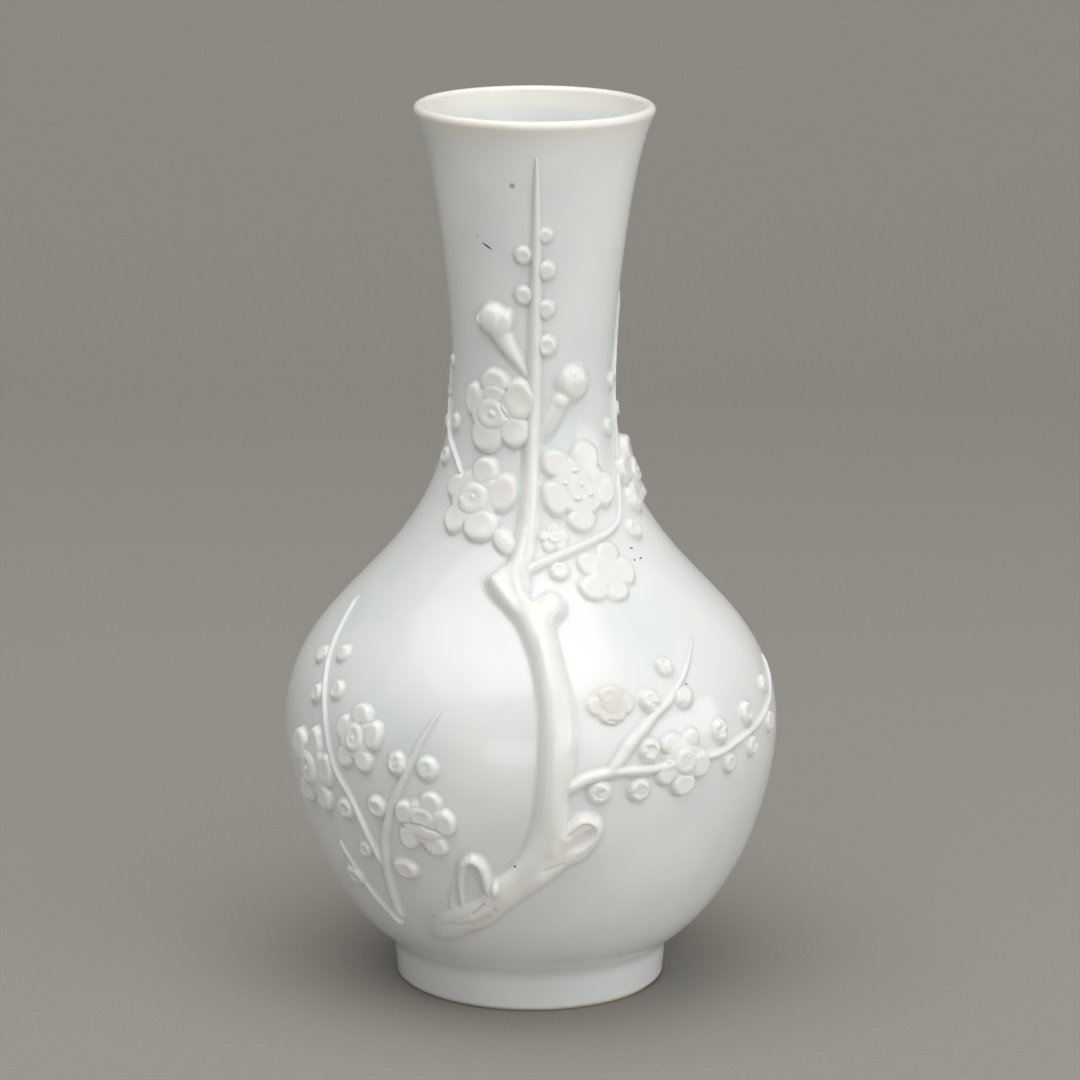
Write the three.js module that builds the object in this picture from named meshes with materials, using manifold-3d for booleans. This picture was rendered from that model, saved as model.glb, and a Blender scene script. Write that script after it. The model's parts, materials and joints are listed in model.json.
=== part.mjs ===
// A blanc de chine bottle vase: porcelain thrown in sections, dressed with prunus sprigs.
// Millimetres, +Z up, the origin on the table under the middle of the foot. The front is -Y.
// A place on the wall is a turn and a level. The turn is in degrees from the front towards +X.
// The level is 0 at the foot joint, 1 at the belly, 2 at the waist of the neck, 3 at the lip.
import * as THREE from "three";
import { mergeVertices } from "three/addons/utils/BufferGeometryUtils.js";
import Module from "manifold-3d";

const wasm = await Module();
wasm.setup();

// Heights above the table
const vaseHeight = 205;
const footHeight = 9.4;
const bellyHeight = 60.7;
const neckJointHeight = 112;
const waistHeight = 144;

// Radii from the axis
const footRadius = 31.2;
const footJointRadius = 31.8;
const bellyRadius = 57;
const waistRadius = 18.4;
const lipRadius = 27.4;

// Clay thicknesses
const bodyWall = 3.6;
const lipWall = 2.7;
const floorThickness = 4.5;
const footWall = 4.2;
const footEdge = 0.8;

// The outline's fullness: reaches of its curves, as shares of the step to the next named place
const footFlareOut = 0.776;
const footFlareUp = 0.228;
const bellyBelow = 0.2;
const bellyAbove = 0.41;
const waistBelow = 0.593;
const waistAbove = 0.218;
const lipBelow = 0.168;
const lipSlope = THREE.MathUtils.degToRad(60);

// Slip between the sprigs and the wall, and between one sprig and the next
const slipGap = 0.3;
const sprigGap = 0.3;

// Sprig sizes
const trunkThickness = 3.4;
const rootThickness = 2.7;
const knotHeight = 3.7;
const branchThickness = 1.9;
const twigThickness = 1.4;
const tipThickness = 0.6;
const blossomRadius = 8.6;
const smallBlossomRadius = 6.6;
const rosetteRadius = 4.4;
const spurBudRadius = 3.5;
const spurBudLength = 3.9;
const leafBudLength = 2.9;
const budRadius = 2.3;
const smallBudRadius = 1.9;

// Fineness of the faceted solids
const bodySides = 40;
const ringSpacing = 6;
const lipSteps = 7;
const stripStep = 4;

// Outline of the outer wall

const lipRound = lipWall / 2;
const lipCentre = new THREE.Vector2(lipRadius - lipRound, vaseHeight - lipRound);
const lipStart = lipSlope - Math.PI / 2;
const lipFoot = new THREE.Vector2(
  lipCentre.x + lipRound * Math.cos(lipStart),
  lipCentre.y + lipRound * Math.sin(lipStart),
);
const bodyRise = bellyHeight - footHeight;
const shoulderRise = waistHeight - bellyHeight;
const neckRise = lipFoot.y - waistHeight;

const outerWall = new THREE.CurvePath();
outerWall.add(
  new THREE.CubicBezierCurve(
    new THREE.Vector2(footJointRadius, footHeight),
    new THREE.Vector2(
      footJointRadius + footFlareOut * (bellyRadius - footJointRadius),
      footHeight + footFlareUp * bodyRise,
    ),
    new THREE.Vector2(bellyRadius, bellyHeight - bellyBelow * bodyRise),
    new THREE.Vector2(bellyRadius, bellyHeight),
  ),
);
outerWall.add(
  new THREE.CubicBezierCurve(
    new THREE.Vector2(bellyRadius, bellyHeight),
    new THREE.Vector2(bellyRadius, bellyHeight + bellyAbove * shoulderRise),
    new THREE.Vector2(waistRadius, waistHeight - waistBelow * shoulderRise),
    new THREE.Vector2(waistRadius, waistHeight),
  ),
);
outerWall.add(
  new THREE.CubicBezierCurve(
    new THREE.Vector2(waistRadius, waistHeight),
    new THREE.Vector2(waistRadius, waistHeight + waistAbove * neckRise),
    new THREE.Vector2(
      lipFoot.x - lipBelow * neckRise * Math.cos(lipSlope),
      lipFoot.y - lipBelow * neckRise * Math.sin(lipSlope),
    ),
    lipFoot,
  ),
);

const wallSamples = 600;
const wallPoints = outerWall.getSpacedPoints(wallSamples);
const wallLength = outerWall.getLength();

// The outer wall at a distance along it from the foot joint, with its outward normal.
function wallAt(distance) {
  const place = THREE.MathUtils.clamp(distance / wallLength, 0, 1) * wallSamples;
  const below = Math.min(Math.floor(place), wallSamples - 1);
  const point = wallPoints[below].clone().lerp(wallPoints[below + 1], place - below);
  const rise = wallPoints[Math.min(below + 2, wallSamples)].clone();
  rise.sub(wallPoints[Math.max(below - 1, 0)]).normalize();
  return { radius: point.x, height: point.y, normal: new THREE.Vector2(rise.y, -rise.x) };
}

// The distance along the wall at which it reaches a height.
function distanceAt(height) {
  let above = 1;
  while (above < wallSamples && wallPoints[above].y < height) above += 1;
  const low = wallPoints[above - 1].y;
  const share = (height - low) / (wallPoints[above].y - low);
  return ((above - 1 + THREE.MathUtils.clamp(share, 0, 1)) / wallSamples) * wallLength;
}

const levelDistances = [footHeight, bellyHeight, waistHeight, lipFoot.y].map(distanceAt);

// A turn and a level as an angle and a distance along the wall.
function placeAt(turn, level) {
  const zone = Math.min(Math.floor(level), levelDistances.length - 2);
  const distance = THREE.MathUtils.lerp(
    levelDistances[zone],
    levelDistances[zone + 1],
    level - zone,
  );
  return { angle: THREE.MathUtils.degToRad(turn), distance };
}

// A point near a place: so far to its right, so far up the wall and so far off the wall.
function onWall(place, right, up, lift) {
  const wall = wallAt(place.distance + up);
  const angle = place.angle + right / wall.radius;
  const radius = wall.radius + wall.normal.x * lift;
  const height = wall.height + wall.normal.y * lift;
  return new THREE.Vector3(radius * Math.sin(angle), -radius * Math.cos(angle), height);
}

// Solids

// A closed geometry as a solid, with shared vertices merged and collapsed triangles left out.
function solidOf(geometry) {
  const bare = new THREE.BufferGeometry();
  bare.setAttribute("position", geometry.getAttribute("position"));
  bare.setIndex(geometry.getIndex());
  const merged = mergeVertices(bare);
  const corners = merged.getIndex().array;
  const triangles = [];
  for (let i = 0; i < corners.length; i += 3) {
    const [a, b, c] = corners.slice(i, i + 3);
    if (a !== b && b !== c && c !== a) triangles.push(a, b, c);
  }
  return new wasm.Manifold(
    new wasm.Mesh({
      numProp: 3,
      vertProperties: merged.getAttribute("position").array,
      triVerts: new Uint32Array(triangles),
    }),
  );
}

function geometryOf(solid) {
  const mesh = solid.getMesh();
  const geometry = new THREE.BufferGeometry();
  geometry.setAttribute("position", new THREE.BufferAttribute(mesh.vertProperties, mesh.numProp));
  geometry.setIndex(new THREE.BufferAttribute(mesh.triVerts, 1));
  geometry.computeVertexNormals();
  return geometry;
}

// A body turned from a profile of radius and height points.
function turned(profile) {
  return solidOf(new THREE.LatheGeometry(profile, bodySides).rotateX(Math.PI / 2));
}

// A closed skin over loops of points, shut by a point before the first and one after the last.
// Each loop turns so that its direction crossed with the way to the next loop points outwards.
function loft(start, loops, end) {
  const count = loops[0].length;
  const points = [start, ...loops.flat(), end];
  const last = points.length - 1;
  const triangles = [];
  for (let j = 0; j < count; j += 1) {
    const next = (j + 1) % count;
    triangles.push(0, 1 + next, 1 + j);
    for (let k = 0; k + 1 < loops.length; k += 1) {
      const here = 1 + k * count;
      const there = here + count;
      triangles.push(here + j, here + next, there + next);
      triangles.push(here + j, there + next, there + j);
    }
    triangles.push(last - count + j, last - count + next, last);
  }
  const geometry = new THREE.BufferGeometry().setFromPoints(points);
  geometry.setIndex(triangles);
  return solidOf(geometry);
}

// Thrown sections

// The wall's thickness, thinning steadily from the foot joint to the lip.
function wallThickness(distance) {
  return THREE.MathUtils.lerp(bodyWall, lipWall, distance / wallLength);
}

function outerPoint(distance) {
  const wall = wallAt(distance);
  return new THREE.Vector2(wall.radius, wall.height);
}

function innerPoint(distance) {
  const wall = wallAt(distance);
  return outerPoint(distance).addScaledVector(wall.normal, -wallThickness(distance));
}

// Evenly spaced distances from one to another, both included.
function spread(from, to) {
  const steps = Math.max(2, Math.round(Math.abs(to - from) / ringSpacing));
  return Array.from({ length: steps + 1 }, (_, i) => THREE.MathUtils.lerp(from, to, i / steps));
}

const bellyDistance = levelDistances[1];
const neckJointDistance = distanceAt(neckJointHeight);
const floorHeight = footHeight + floorThickness;

// The distance at which the inner wall reaches the top of the floor.
function floorDistance() {
  const step = wallLength / wallSamples;
  let distance = 0;
  while (innerPoint(distance).y < floorHeight) distance += step;
  return distance;
}

function footRing() {
  const inner = footJointRadius - footWall;
  return turned([
    new THREE.Vector2(inner, footHeight),
    new THREE.Vector2(inner, footEdge),
    new THREE.Vector2(inner + footEdge, 0),
    new THREE.Vector2(footRadius - footEdge, 0),
    new THREE.Vector2(footRadius, footEdge),
    new THREE.Vector2(footJointRadius, footHeight),
    new THREE.Vector2(inner, footHeight),
  ]);
}

function lowerBody() {
  return turned([
    new THREE.Vector2(0, footHeight),
    ...spread(0, bellyDistance).map(outerPoint),
    ...spread(bellyDistance, floorDistance()).map(innerPoint),
    new THREE.Vector2(0, innerPoint(floorDistance()).y),
  ]);
}

function upperBody() {
  return turned([
    ...spread(bellyDistance, neckJointDistance).map(outerPoint),
    ...spread(neckJointDistance, bellyDistance).map(innerPoint),
    outerPoint(bellyDistance),
  ]);
}

function neck() {
  const lip = [];
  for (let i = 1; i <= lipSteps; i += 1) {
    const angle = THREE.MathUtils.lerp(lipStart, Math.PI, i / lipSteps);
    lip.push(
      new THREE.Vector2(
        lipCentre.x + lipRound * Math.cos(angle),
        lipCentre.y + lipRound * Math.sin(angle),
      ),
    );
  }
  return turned([
    ...spread(neckJointDistance, wallLength).map(outerPoint),
    ...lip,
    ...spread(wallLength - lipWall, neckJointDistance).map(innerPoint),
    outerPoint(neckJointDistance),
  ]);
}

// Sprigs: each maker takes how much to grow the form by, so that a grown copy cuts its neighbours

// A twig or trunk along places on the wall, with a low rounded section.
// Widths are full widths, spread evenly along it; it thins from thickness to endThickness.
function strip({ path, widths, thickness, endThickness, sides = 5 }, grow) {
  const places = path.map(([turn, level]) => placeAt(turn, level));
  const meanRadius = wallAt(places[Math.floor(places.length / 2)].distance).radius;
  const line = new THREE.SplineCurve(
    places.map((p) => new THREE.Vector2(p.angle * meanRadius, p.distance)),
  );
  const steps = Math.max(3, Math.round(line.getLength() / stripStep));
  const loops = [];
  for (let i = 0; i <= steps; i += 1) {
    const share = i / steps;
    const point = line.getPointAt(share);
    const tangent = line.getTangentAt(share);
    const place = { angle: point.x / meanRadius, distance: point.y };
    const along = new THREE.Vector2(
      (tangent.x * wallAt(point.y).radius) / meanRadius,
      tangent.y,
    ).normalize();
    const reach = share * (widths.length - 1);
    const from = Math.min(Math.floor(reach), widths.length - 2);
    const halfWidth = THREE.MathUtils.lerp(widths[from], widths[from + 1], reach - from) / 2 + grow;
    const height = THREE.MathUtils.lerp(thickness, endThickness, share) + 2 * grow;
    const end = i === 0 ? -grow : i === steps ? grow : 0;
    const loop = [];
    for (let k = 0; k < sides; k += 1) {
      const angle = (Math.PI * k) / (sides - 1);
      const side = halfWidth * Math.cos(angle);
      const lift = slipGap - grow + height * Math.sin(angle);
      loop.push(onWall(place, -along.y * side + along.x * end, along.x * side + along.y * end, lift));
    }
    loops.push(loop);
  }
  const middle = (loop) => {
    const foot = loop[0].clone().lerp(loop[sides - 1], 0.5);
    return foot.lerp(loop[(sides - 1) / 2], 0.5);
  };
  return loft(middle(loops[0]), loops, middle(loops[steps]));
}

// A pad at a place: loops of so many points at shares of an outline, raised by shares of a height.
// The outline says how far the pad reaches at an angle, and the pad is turned by roll degrees.
function pad({ turn, level, roll = 0, outline, height, sides, loops, top }, grow) {
  const place = placeAt(turn, level);
  const heel = THREE.MathUtils.degToRad(roll);
  const raise = (lift) => slipGap - grow + lift * (height + 2 * grow);
  const rings = loops.map(([share, lift]) =>
    Array.from({ length: sides }, (_, j) => {
      const angle = (2 * Math.PI * j) / sides;
      const reach = share * (outline(angle) + grow);
      return onWall(
        place,
        reach * Math.cos(angle + heel),
        reach * Math.sin(angle + heel),
        raise(lift),
      );
    }),
  );
  return loft(onWall(place, 0, 0, raise(0)), rings, onWall(place, 0, 0, raise(top)));
}

// Blossoms: a valley's depth and the relief's height are shares of the blossom's radius.
const petalCount = 5;
const petalSamples = 4;
const petalFullness = 0.6;
const valleyDepth = 0.2;
const blossomRelief = 0.36;

// Cuts through each kind of pad, from its rim to its middle: shares of its reach and height
const blossomProfile = [[0.5, 0], [1, 0], [0.97, 0.4], [0.74, 0.66], [0.44, 0.46], [0.34, 1]];
const blossomDish = 0.6;
const budProfile = [[1, 0], [0.92, 0.55], [0.5, 1]];
const budDimple = 0.8;
const knotProfile = [[1, 0], [0.97, 0.7], [0.8, 1], [0.55, 0.45]];
const knotHollow = 0.4;

// A bud's height as a share of its radius
const budRelief = 0.8;
const budSides = 8;
const knotSides = 12;

// Five round petals round a raised cup with a dished middle.
function blossom({ turn, level, radius, roll = 0 }, grow) {
  const lobe = (angle) => Math.abs(Math.cos((petalCount * angle) / 2)) ** petalFullness;
  return pad(
    {
      turn,
      level,
      roll,
      outline: (angle) => radius * (1 - valleyDepth + valleyDepth * lobe(angle)),
      height: radius * blossomRelief,
      sides: petalCount * petalSamples,
      loops: blossomProfile,
      top: blossomDish,
    },
    grow,
  );
}

// A round bud with a dimple pressed in its top; length stretches it along its roll.
function bud({ turn, level, radius, roll = 0, length = radius }, grow) {
  return pad(
    {
      turn,
      level,
      roll,
      outline: (angle) => Math.hypot(length * Math.cos(angle), radius * Math.sin(angle)),
      height: radius * budRelief,
      sides: budSides,
      loops: budProfile,
      top: budDimple,
    },
    grow,
  );
}

// A lopped stub or hollow knot: an oval pad with a raised rim round a hollow.
function knot({ turn, level, roll, length, width }, grow) {
  return pad(
    {
      turn,
      level,
      roll,
      outline: (angle) => Math.hypot((length / 2) * Math.cos(angle), (width / 2) * Math.sin(angle)),
      height: knotHeight,
      sides: knotSides,
      loops: knotProfile,
      top: knotHollow,
    },
    grow,
  );
}

// One piece pressed together from several forms.
function joined(...makers) {
  return (grow) => makers.map((make) => make(grow)).reduce((sum, next) => sum.add(next));
}

const twigOf = (row) => (grow) =>
  strip({ thickness: twigThickness, endThickness: tipThickness, ...row }, grow);
const branchOf = (row) => twigOf({ thickness: branchThickness, ...row });
const blossomOf = (turn, level, radius, roll) => (grow) =>
  blossom({ turn, level, radius, roll }, grow);
const longBudOf = (row) => (grow) => bud(row, grow);
const budOf = (turn, level, radius = budRadius) => longBudOf({ turn, level, radius });
const knotOf = (row) => (grow) => knot(row, grow);
const trunkOf = (row) => (grow) => strip({ thickness: rootThickness, sides: 7, ...row }, grow);

// The front spray, in the order that its pieces were stuck on

const frontSpray = {
  trunk: joined(
    trunkOf({
      path: [
        [-26, 0.26], [-16, 0.36], [-1, 0.56], [5, 0.8], [6, 1.05],
        [5, 1.23], [2, 1.38], [-6, 1.46], [-12, 1.49],
      ],
      widths: [4.6, 7.6, 8, 7, 7, 7.6, 7.6, 6.6, 6],
      endThickness: trunkThickness,
    }),
    knotOf({ turn: 12.5, level: 0.78, roll: 42, length: 11, width: 6.6 }),
    knotOf({ turn: -14.5, level: 0.54, roll: 82, length: 11.5, width: 7.6 }),
    longBudOf({ turn: 6.5, level: 1.43, radius: 3.6, roll: 70, length: 3.9 }),
    longBudOf({ turn: -14, level: 1.5, radius: 3.4, roll: 30, length: 3.8 }),
  ),
  neck_shoot: joined(
    twigOf({
      path: [[-6, 1.48], [-2, 1.62], [1, 1.8], [1.2, 2.05], [0.5, 2.35], [1.2, 2.9]],
      widths: [3.8, 3.1, 2.7, 2.2, 1.6, 0.8],
      thickness: branchThickness,
    }),
    budOf(-6, 2.5, smallBudRadius),
    budOf(8, 2.44, smallBudRadius),
    budOf(-6, 2.35, smallBudRadius),
    budOf(8.5, 2.28, smallBudRadius),
    budOf(9.5, 2.16, smallBudRadius),
  ),
  bud_spur_left: joined(
    twigOf({
      path: [[-26, 2.24], [-15, 2.12], [-3, 2.05]],
      widths: [3.4, 2.6, 1.8],
    }),
    budOf(-27, 2.26, spurBudRadius),
  ),
  bud_spur_right: joined(
    twigOf({
      path: [[27, 2], [16, 1.94], [6, 1.86]],
      widths: [3.4, 2.6, 1.8],
    }),
    longBudOf({ turn: 29, level: 2.01, radius: spurBudRadius, length: spurBudLength, roll: 90 }),
  ),
  shoulder_branch: joined(
    branchOf({
      path: [
        [2, 1.51], [14, 1.565], [30, 1.59], [46, 1.62], [60, 1.7],
        [80, 1.84], [88, 2], [89, 2.15], [88, 2.31],
      ],
      widths: [2.8, 2.2, 1.8, 1.8, 1.8, 1.8, 1.6, 1.2, 0.8],
    }),
    budOf(81, 1.97, smallBudRadius),
  ),
  neck_left_twig: joined(
    twigOf({
      path: [[-43, 1.75], [-60, 1.79], [-80, 1.84], [-86, 1.94], [-82, 2.02], [-75, 2.05]],
      widths: [2.2, 2, 1.8, 1.8, 1.4, 0.8],
    }),
    budOf(-93, 1.94, smallBudRadius),
    budOf(-71, 1.86, smallBudRadius),
  ),
  left_middle_twig: twigOf({
    path: [[-38.5, 0.33], [-38, 0.53], [-37, 0.72], [-32, 0.92], [-27, 1.07], [-21, 1.21]],
    widths: [2.6, 2.4, 2.2, 2, 1.6, 0.8],
  }),
  left_outer_twig: twigOf({
    path: [[-38, 0.6], [-44, 0.77], [-50, 0.98], [-58, 1.14], [-66, 1.26], [-77, 1.39]],
    widths: [2.4, 2.4, 2.2, 2, 1.8, 0.8],
  }),
  left_low_twig: twigOf({
    path: [[-39, 0.29], [-46, 0.45], [-50, 0.56], [-54, 0.69]],
    widths: [2.6, 2.2, 2, 0.8],
  }),
  right_branch: joined(
    branchOf({
      path: [
        [8, 0.985], [17, 1.03], [31, 1.035], [50, 1.05],
        [65, 1.07], [77, 1.09], [87, 1.12], [92, 1.2],
      ],
      widths: [3.6, 3, 3, 2.8, 2.6, 2.4, 2, 0.8],
    }),
    budOf(15.5, 0.985),
    budOf(25, 0.985),
    budOf(49, 1.095),
    budOf(61, 1.11),
  ),
  right_side_twig: twigOf({
    path: [[18, 1.045], [30, 1.16], [38, 1.22], [44, 1.27], [56, 1.35]],
    widths: [3.4, 3, 2.6, 1.6, 0.6],
    thickness: branchThickness,
  }),
  blossom_neck_left: blossomOf(-28, 1.92, blossomRadius, 95),
  blossom_neck_base_left: blossomOf(-34, 1.69, blossomRadius, 70),
  blossom_neck_right: blossomOf(29, 1.73, blossomRadius, 62),
  blossom_neck_edge_right: blossomOf(94, 1.74, blossomRadius * 0.9, 90),
  blossom_shoulder_right: blossomOf(31, 1.51, smallBlossomRadius, 90),
  blossom_below_shoulder: blossomOf(20, 1.21, rosetteRadius, 90),
  blossom_right: blossomOf(38, 1.055, smallBlossomRadius * 0.92, 80),
  blossom_left: blossomOf(-45, 1.08, smallBlossomRadius * 1.05, 70),
  blossom_left_edge: blossomOf(-63, 0.92, smallBlossomRadius * 1.15, 110),
  blossom_left_low: blossomOf(-26, 0.8, smallBlossomRadius, 80),
  rosette: blossomOf(11, 1.605, rosetteRadius * 0.7, 90),
};

// Loose buds of the front spray: a name, a turn, a level and a radius

const looseBuds = [
  ["bud_shoot_tip", 9, 2.58, smallBudRadius * 0.8],
  ["bud_neck_right_low", 65, 1.87, smallBudRadius],
  ["bud_neck_left_low", -76, 1.76, smallBudRadius],
  ["bud_shoulder_right_high", 77, 1.65, budRadius],
  ["bud_shoulder_right_low", 61, 1.585, smallBudRadius],
  ["bud_fork", 11, 1.515, smallBudRadius],
  ["bud_left_1", -71, 1.25, smallBudRadius],
  ["bud_left_2", -60, 1.265, smallBudRadius],
  ["bud_left_3", -64, 1.155, smallBudRadius],
  ["bud_left_4", -55, 1.19, smallBudRadius],
  ["bud_left_5", -32, 1.04, budRadius * 0.9],
  ["bud_left_6", -23.5, 1.04, budRadius],
  ["bud_left_7", -38.5, 0.85, budRadius],
  ["bud_left_8", -50, 0.79, budRadius],
  ["bud_left_9", -32, 0.57, budRadius],
  ["bud_left_10", -53, 0.46, budRadius],
  ["bud_right_1", 37, 1.285, smallBudRadius],
  ["bud_right_2", 29.5, 1.21, budRadius],
  ["bud_right_3", 41, 1.195, smallBudRadius],
  ["bud_right_4", 27.5, 1.08, budRadius],
  ["bud_right_5", 52, 1.01, smallBudRadius],
  ["bud_right_6", 61.5, 1.02, smallBudRadius],
  ["bud_right_7", 74, 1.045, budRadius],
];

const buds = Object.fromEntries(
  looseBuds.map(([name, turn, level, radius]) => [name, budOf(turn, level, radius)]),
);

// A leaf-shaped bud at the foot of the shoot, which comes to a point
const pointedBud = {
  bud_leaf: longBudOf({
    turn: -14,
    level: 1.6,
    radius: smallBudRadius,
    roll: -50,
    length: leafBudLength,
  }),
};

// The back spray, a plainer answer to the front one

const backSpray = {
  back_trunk: joined(
    trunkOf({
      path: [[196, 0.3], [184, 0.52], [178, 0.8], [180, 1.08], [184, 1.3], [181, 1.44]],
      widths: [4.6, 7.4, 6.6, 6.6, 6.6, 5],
      endThickness: rootThickness,
    }),
    knotOf({ turn: 172, level: 0.74, roll: 130, length: 10, width: 6.4 }),
  ),
  back_shoot: joined(
    twigOf({
      path: [[181, 1.42], [178, 1.65], [179, 1.85], [181, 2.15], [180, 2.55]],
      widths: [3.4, 2.8, 2.4, 1.8, 0.8],
      thickness: branchThickness,
    }),
    budOf(173, 2.2, smallBudRadius),
    budOf(187, 2.07, smallBudRadius),
    budOf(173, 1.98, smallBudRadius),
  ),
  back_left_branch: joined(
    branchOf({
      path: [[175, 1.02], [160, 1.04], [144, 1.09], [128, 1.18]],
      widths: [3, 2.6, 2, 0.8],
    }),
    budOf(152, 1.1),
    budOf(137, 1.08),
  ),
  back_right_branch: joined(
    branchOf({
      path: [[180, 0.85], [200, 0.95], [218, 1.08], [234, 1.24]],
      widths: [3, 2.6, 2, 0.8],
    }),
    budOf(208, 0.94),
    budOf(224, 1.08),
  ),
  back_blossom_neck: blossomOf(153, 1.76, blossomRadius * 0.95, 80),
  back_blossom_shoulder: blossomOf(206, 1.68, blossomRadius * 0.9, 60),
  back_blossom_left: blossomOf(150, 0.93, smallBlossomRadius, 90),
  back_blossom_right: blossomOf(203, 1.13, smallBlossomRadius, 75),
};

// Building the pieces

// The largest body of a solid that a cut may have split.
function largest(solid) {
  return solid.decompose().reduce((best, next) => (next.volume() > best.volume() ? next : best));
}

function boxesMeet(a, b) {
  const first = a.boundingBox();
  const second = b.boundingBox();
  return [0, 1, 2].every((i) => first.min[i] < second.max[i] && second.min[i] < first.max[i]);
}

// Each sprig, cut back from the grown forms of the sprigs stuck on before it.
function fittedSprigs(makers) {
  const cutters = [];
  return Object.entries(makers).map(([name, make]) => {
    let solid = make(0);
    for (const cutter of cutters) {
      if (boxesMeet(solid, cutter)) solid = solid.subtract(cutter);
    }
    cutters.push(make(sprigGap));
    return [name, largest(solid)];
  });
}

// Clear gloss glaze over white porcelain
const glazeRoughness = 0.15;
const bodyColour = 0xeff0ec;
const sprigColour = 0xf5f5ef;

function meshesOf(entries, colour) {
  const group = new THREE.Group();
  for (const [name, solid] of entries) {
    const material = new THREE.MeshStandardMaterial({ color: colour, roughness: glazeRoughness });
    const mesh = new THREE.Mesh(geometryOf(solid), material);
    mesh.name = name;
    group.add(mesh);
  }
  return group;
}

const thrown = {
  foot_ring: footRing(),
  lower_body: lowerBody(),
  upper_body: upperBody(),
  neck: neck(),
};

const vase = new THREE.Group();
vase.add(meshesOf(Object.entries(thrown), bodyColour));
const sprigs = { ...frontSpray, ...pointedBud, ...buds, ...backSpray };
vase.add(meshesOf(fittedSprigs(sprigs), sprigColour));

export default vase;
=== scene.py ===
import json
import math

import bpy
import numpy as np
from bpy.props import FloatProperty, FloatVectorProperty, IntProperty, PointerProperty
from mathutils import Matrix, Vector

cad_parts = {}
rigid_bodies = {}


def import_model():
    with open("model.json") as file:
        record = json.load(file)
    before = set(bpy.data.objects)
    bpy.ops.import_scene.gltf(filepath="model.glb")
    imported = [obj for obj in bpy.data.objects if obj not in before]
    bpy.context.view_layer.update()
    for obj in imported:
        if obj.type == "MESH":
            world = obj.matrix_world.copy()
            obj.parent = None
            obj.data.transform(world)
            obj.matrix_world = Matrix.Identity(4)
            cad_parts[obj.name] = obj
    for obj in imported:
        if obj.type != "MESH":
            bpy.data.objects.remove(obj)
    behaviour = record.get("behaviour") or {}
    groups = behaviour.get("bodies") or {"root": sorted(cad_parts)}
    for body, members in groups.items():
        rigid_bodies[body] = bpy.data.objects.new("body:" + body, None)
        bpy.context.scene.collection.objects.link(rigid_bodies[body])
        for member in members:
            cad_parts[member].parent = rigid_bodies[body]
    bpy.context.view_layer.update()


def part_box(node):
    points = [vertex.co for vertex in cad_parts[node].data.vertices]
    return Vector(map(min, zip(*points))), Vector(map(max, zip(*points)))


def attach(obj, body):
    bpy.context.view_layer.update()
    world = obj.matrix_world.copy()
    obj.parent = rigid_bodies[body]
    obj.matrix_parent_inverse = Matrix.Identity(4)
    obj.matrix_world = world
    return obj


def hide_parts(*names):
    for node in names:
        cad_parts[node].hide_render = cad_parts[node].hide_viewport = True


bl_info = {
    "name": "Blanc de Chine Vase",
    "version": (1, 0, 0),
    "blender": (4, 5, 0),
    "location": "3D View > Sidebar > Vase",
    "description": "A glazed white porcelain bottle vase with applied prunus sprigs",
    "category": "Mesh",
}

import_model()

# Lengths here are millimetres, and become metres when a mesh is made.
# A place on the wall is a turn and a level. The turn is in degrees from the front towards +X.
# The level is 0 at the foot joint, 1 at the belly, 2 at the waist of the neck, 3 at the lip.
MM = 0.001
BODY = "root"


def linear(code):
    """A hex sRGB colour as linear red, green and blue."""
    channels = [int(code[i : i + 2], 16) / 255 for i in (1, 3, 5)]
    return [c / 12.92 if c <= 0.04045 else ((c + 0.055) / 1.055) ** 2.4 for c in channels]


def length(name, description, default):
    """A size in millimetres that a user would change."""
    return FloatProperty(name=name, description=description, default=default, min=0, unit="NONE")


def share(name, description, default):
    """A part of one."""
    return FloatProperty(name=name, description=description, default=default, min=0, max=1)


def colour(name, description, code):
    return FloatVectorProperty(
        name=name, description=description, default=linear(code), subtype="COLOR", min=0, max=1
    )


def watts(name, description, default):
    return FloatProperty(name=name, description=description, default=default, min=0, unit="POWER")


class VaseForm(bpy.types.PropertyGroup):
    """The thrown form. Its heights and radii at the joints come from the frame."""

    waist_height: length("Waist Height", "Height of the narrowest place of the neck", 144)
    waist_radius: length("Waist Radius", "Radius of the narrowest place of the neck", 18.4)
    body_wall: length("Body Wall", "Thickness of the wall at the foot joint", 3.6)
    lip_wall: length("Lip Wall", "Thickness of the wall at the lip", 2.7)
    floor_thickness: length("Floor Thickness", "Thickness of the floor", 4.5)
    foot_wall: length("Foot Wall", "Thickness of the foot ring", 4.2)
    foot_edge: length("Foot Edge", "Rounding of the foot ring's edges", 0.8)
    foot_flare_out: share("Foot Flare Out", "How far the bowl runs out before it rises", 0.776)
    foot_flare_up: share("Foot Flare Up", "How far the bowl rises as it runs out", 0.228)
    belly_below: share("Belly Below", "Fullness of the belly below its widest place", 0.2)
    belly_above: share("Belly Above", "Fullness of the belly above its widest place", 0.41)
    waist_below: share("Waist Below", "Length of the neck's straight run below the waist", 0.593)
    waist_above: share("Waist Above", "Length of the neck's straight run above the waist", 0.218)
    lip_below: share("Lip Below", "Length of the flare at the lip", 0.168)
    lip_slope: FloatProperty(
        name="Lip Slope", description="Slope of the wall where it meets the lip",
        default=math.radians(60), unit="ROTATION",
    )
    sides: IntProperty(name="Sides", description="Points round the form", default=224, min=24)
    wander: length("Wander", "How far the surface wanders from true, as throwing leaves it", 0.12)
    wander_spacing: length("Wander Spacing", "Height between one throwing ring and the next", 9)


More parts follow.
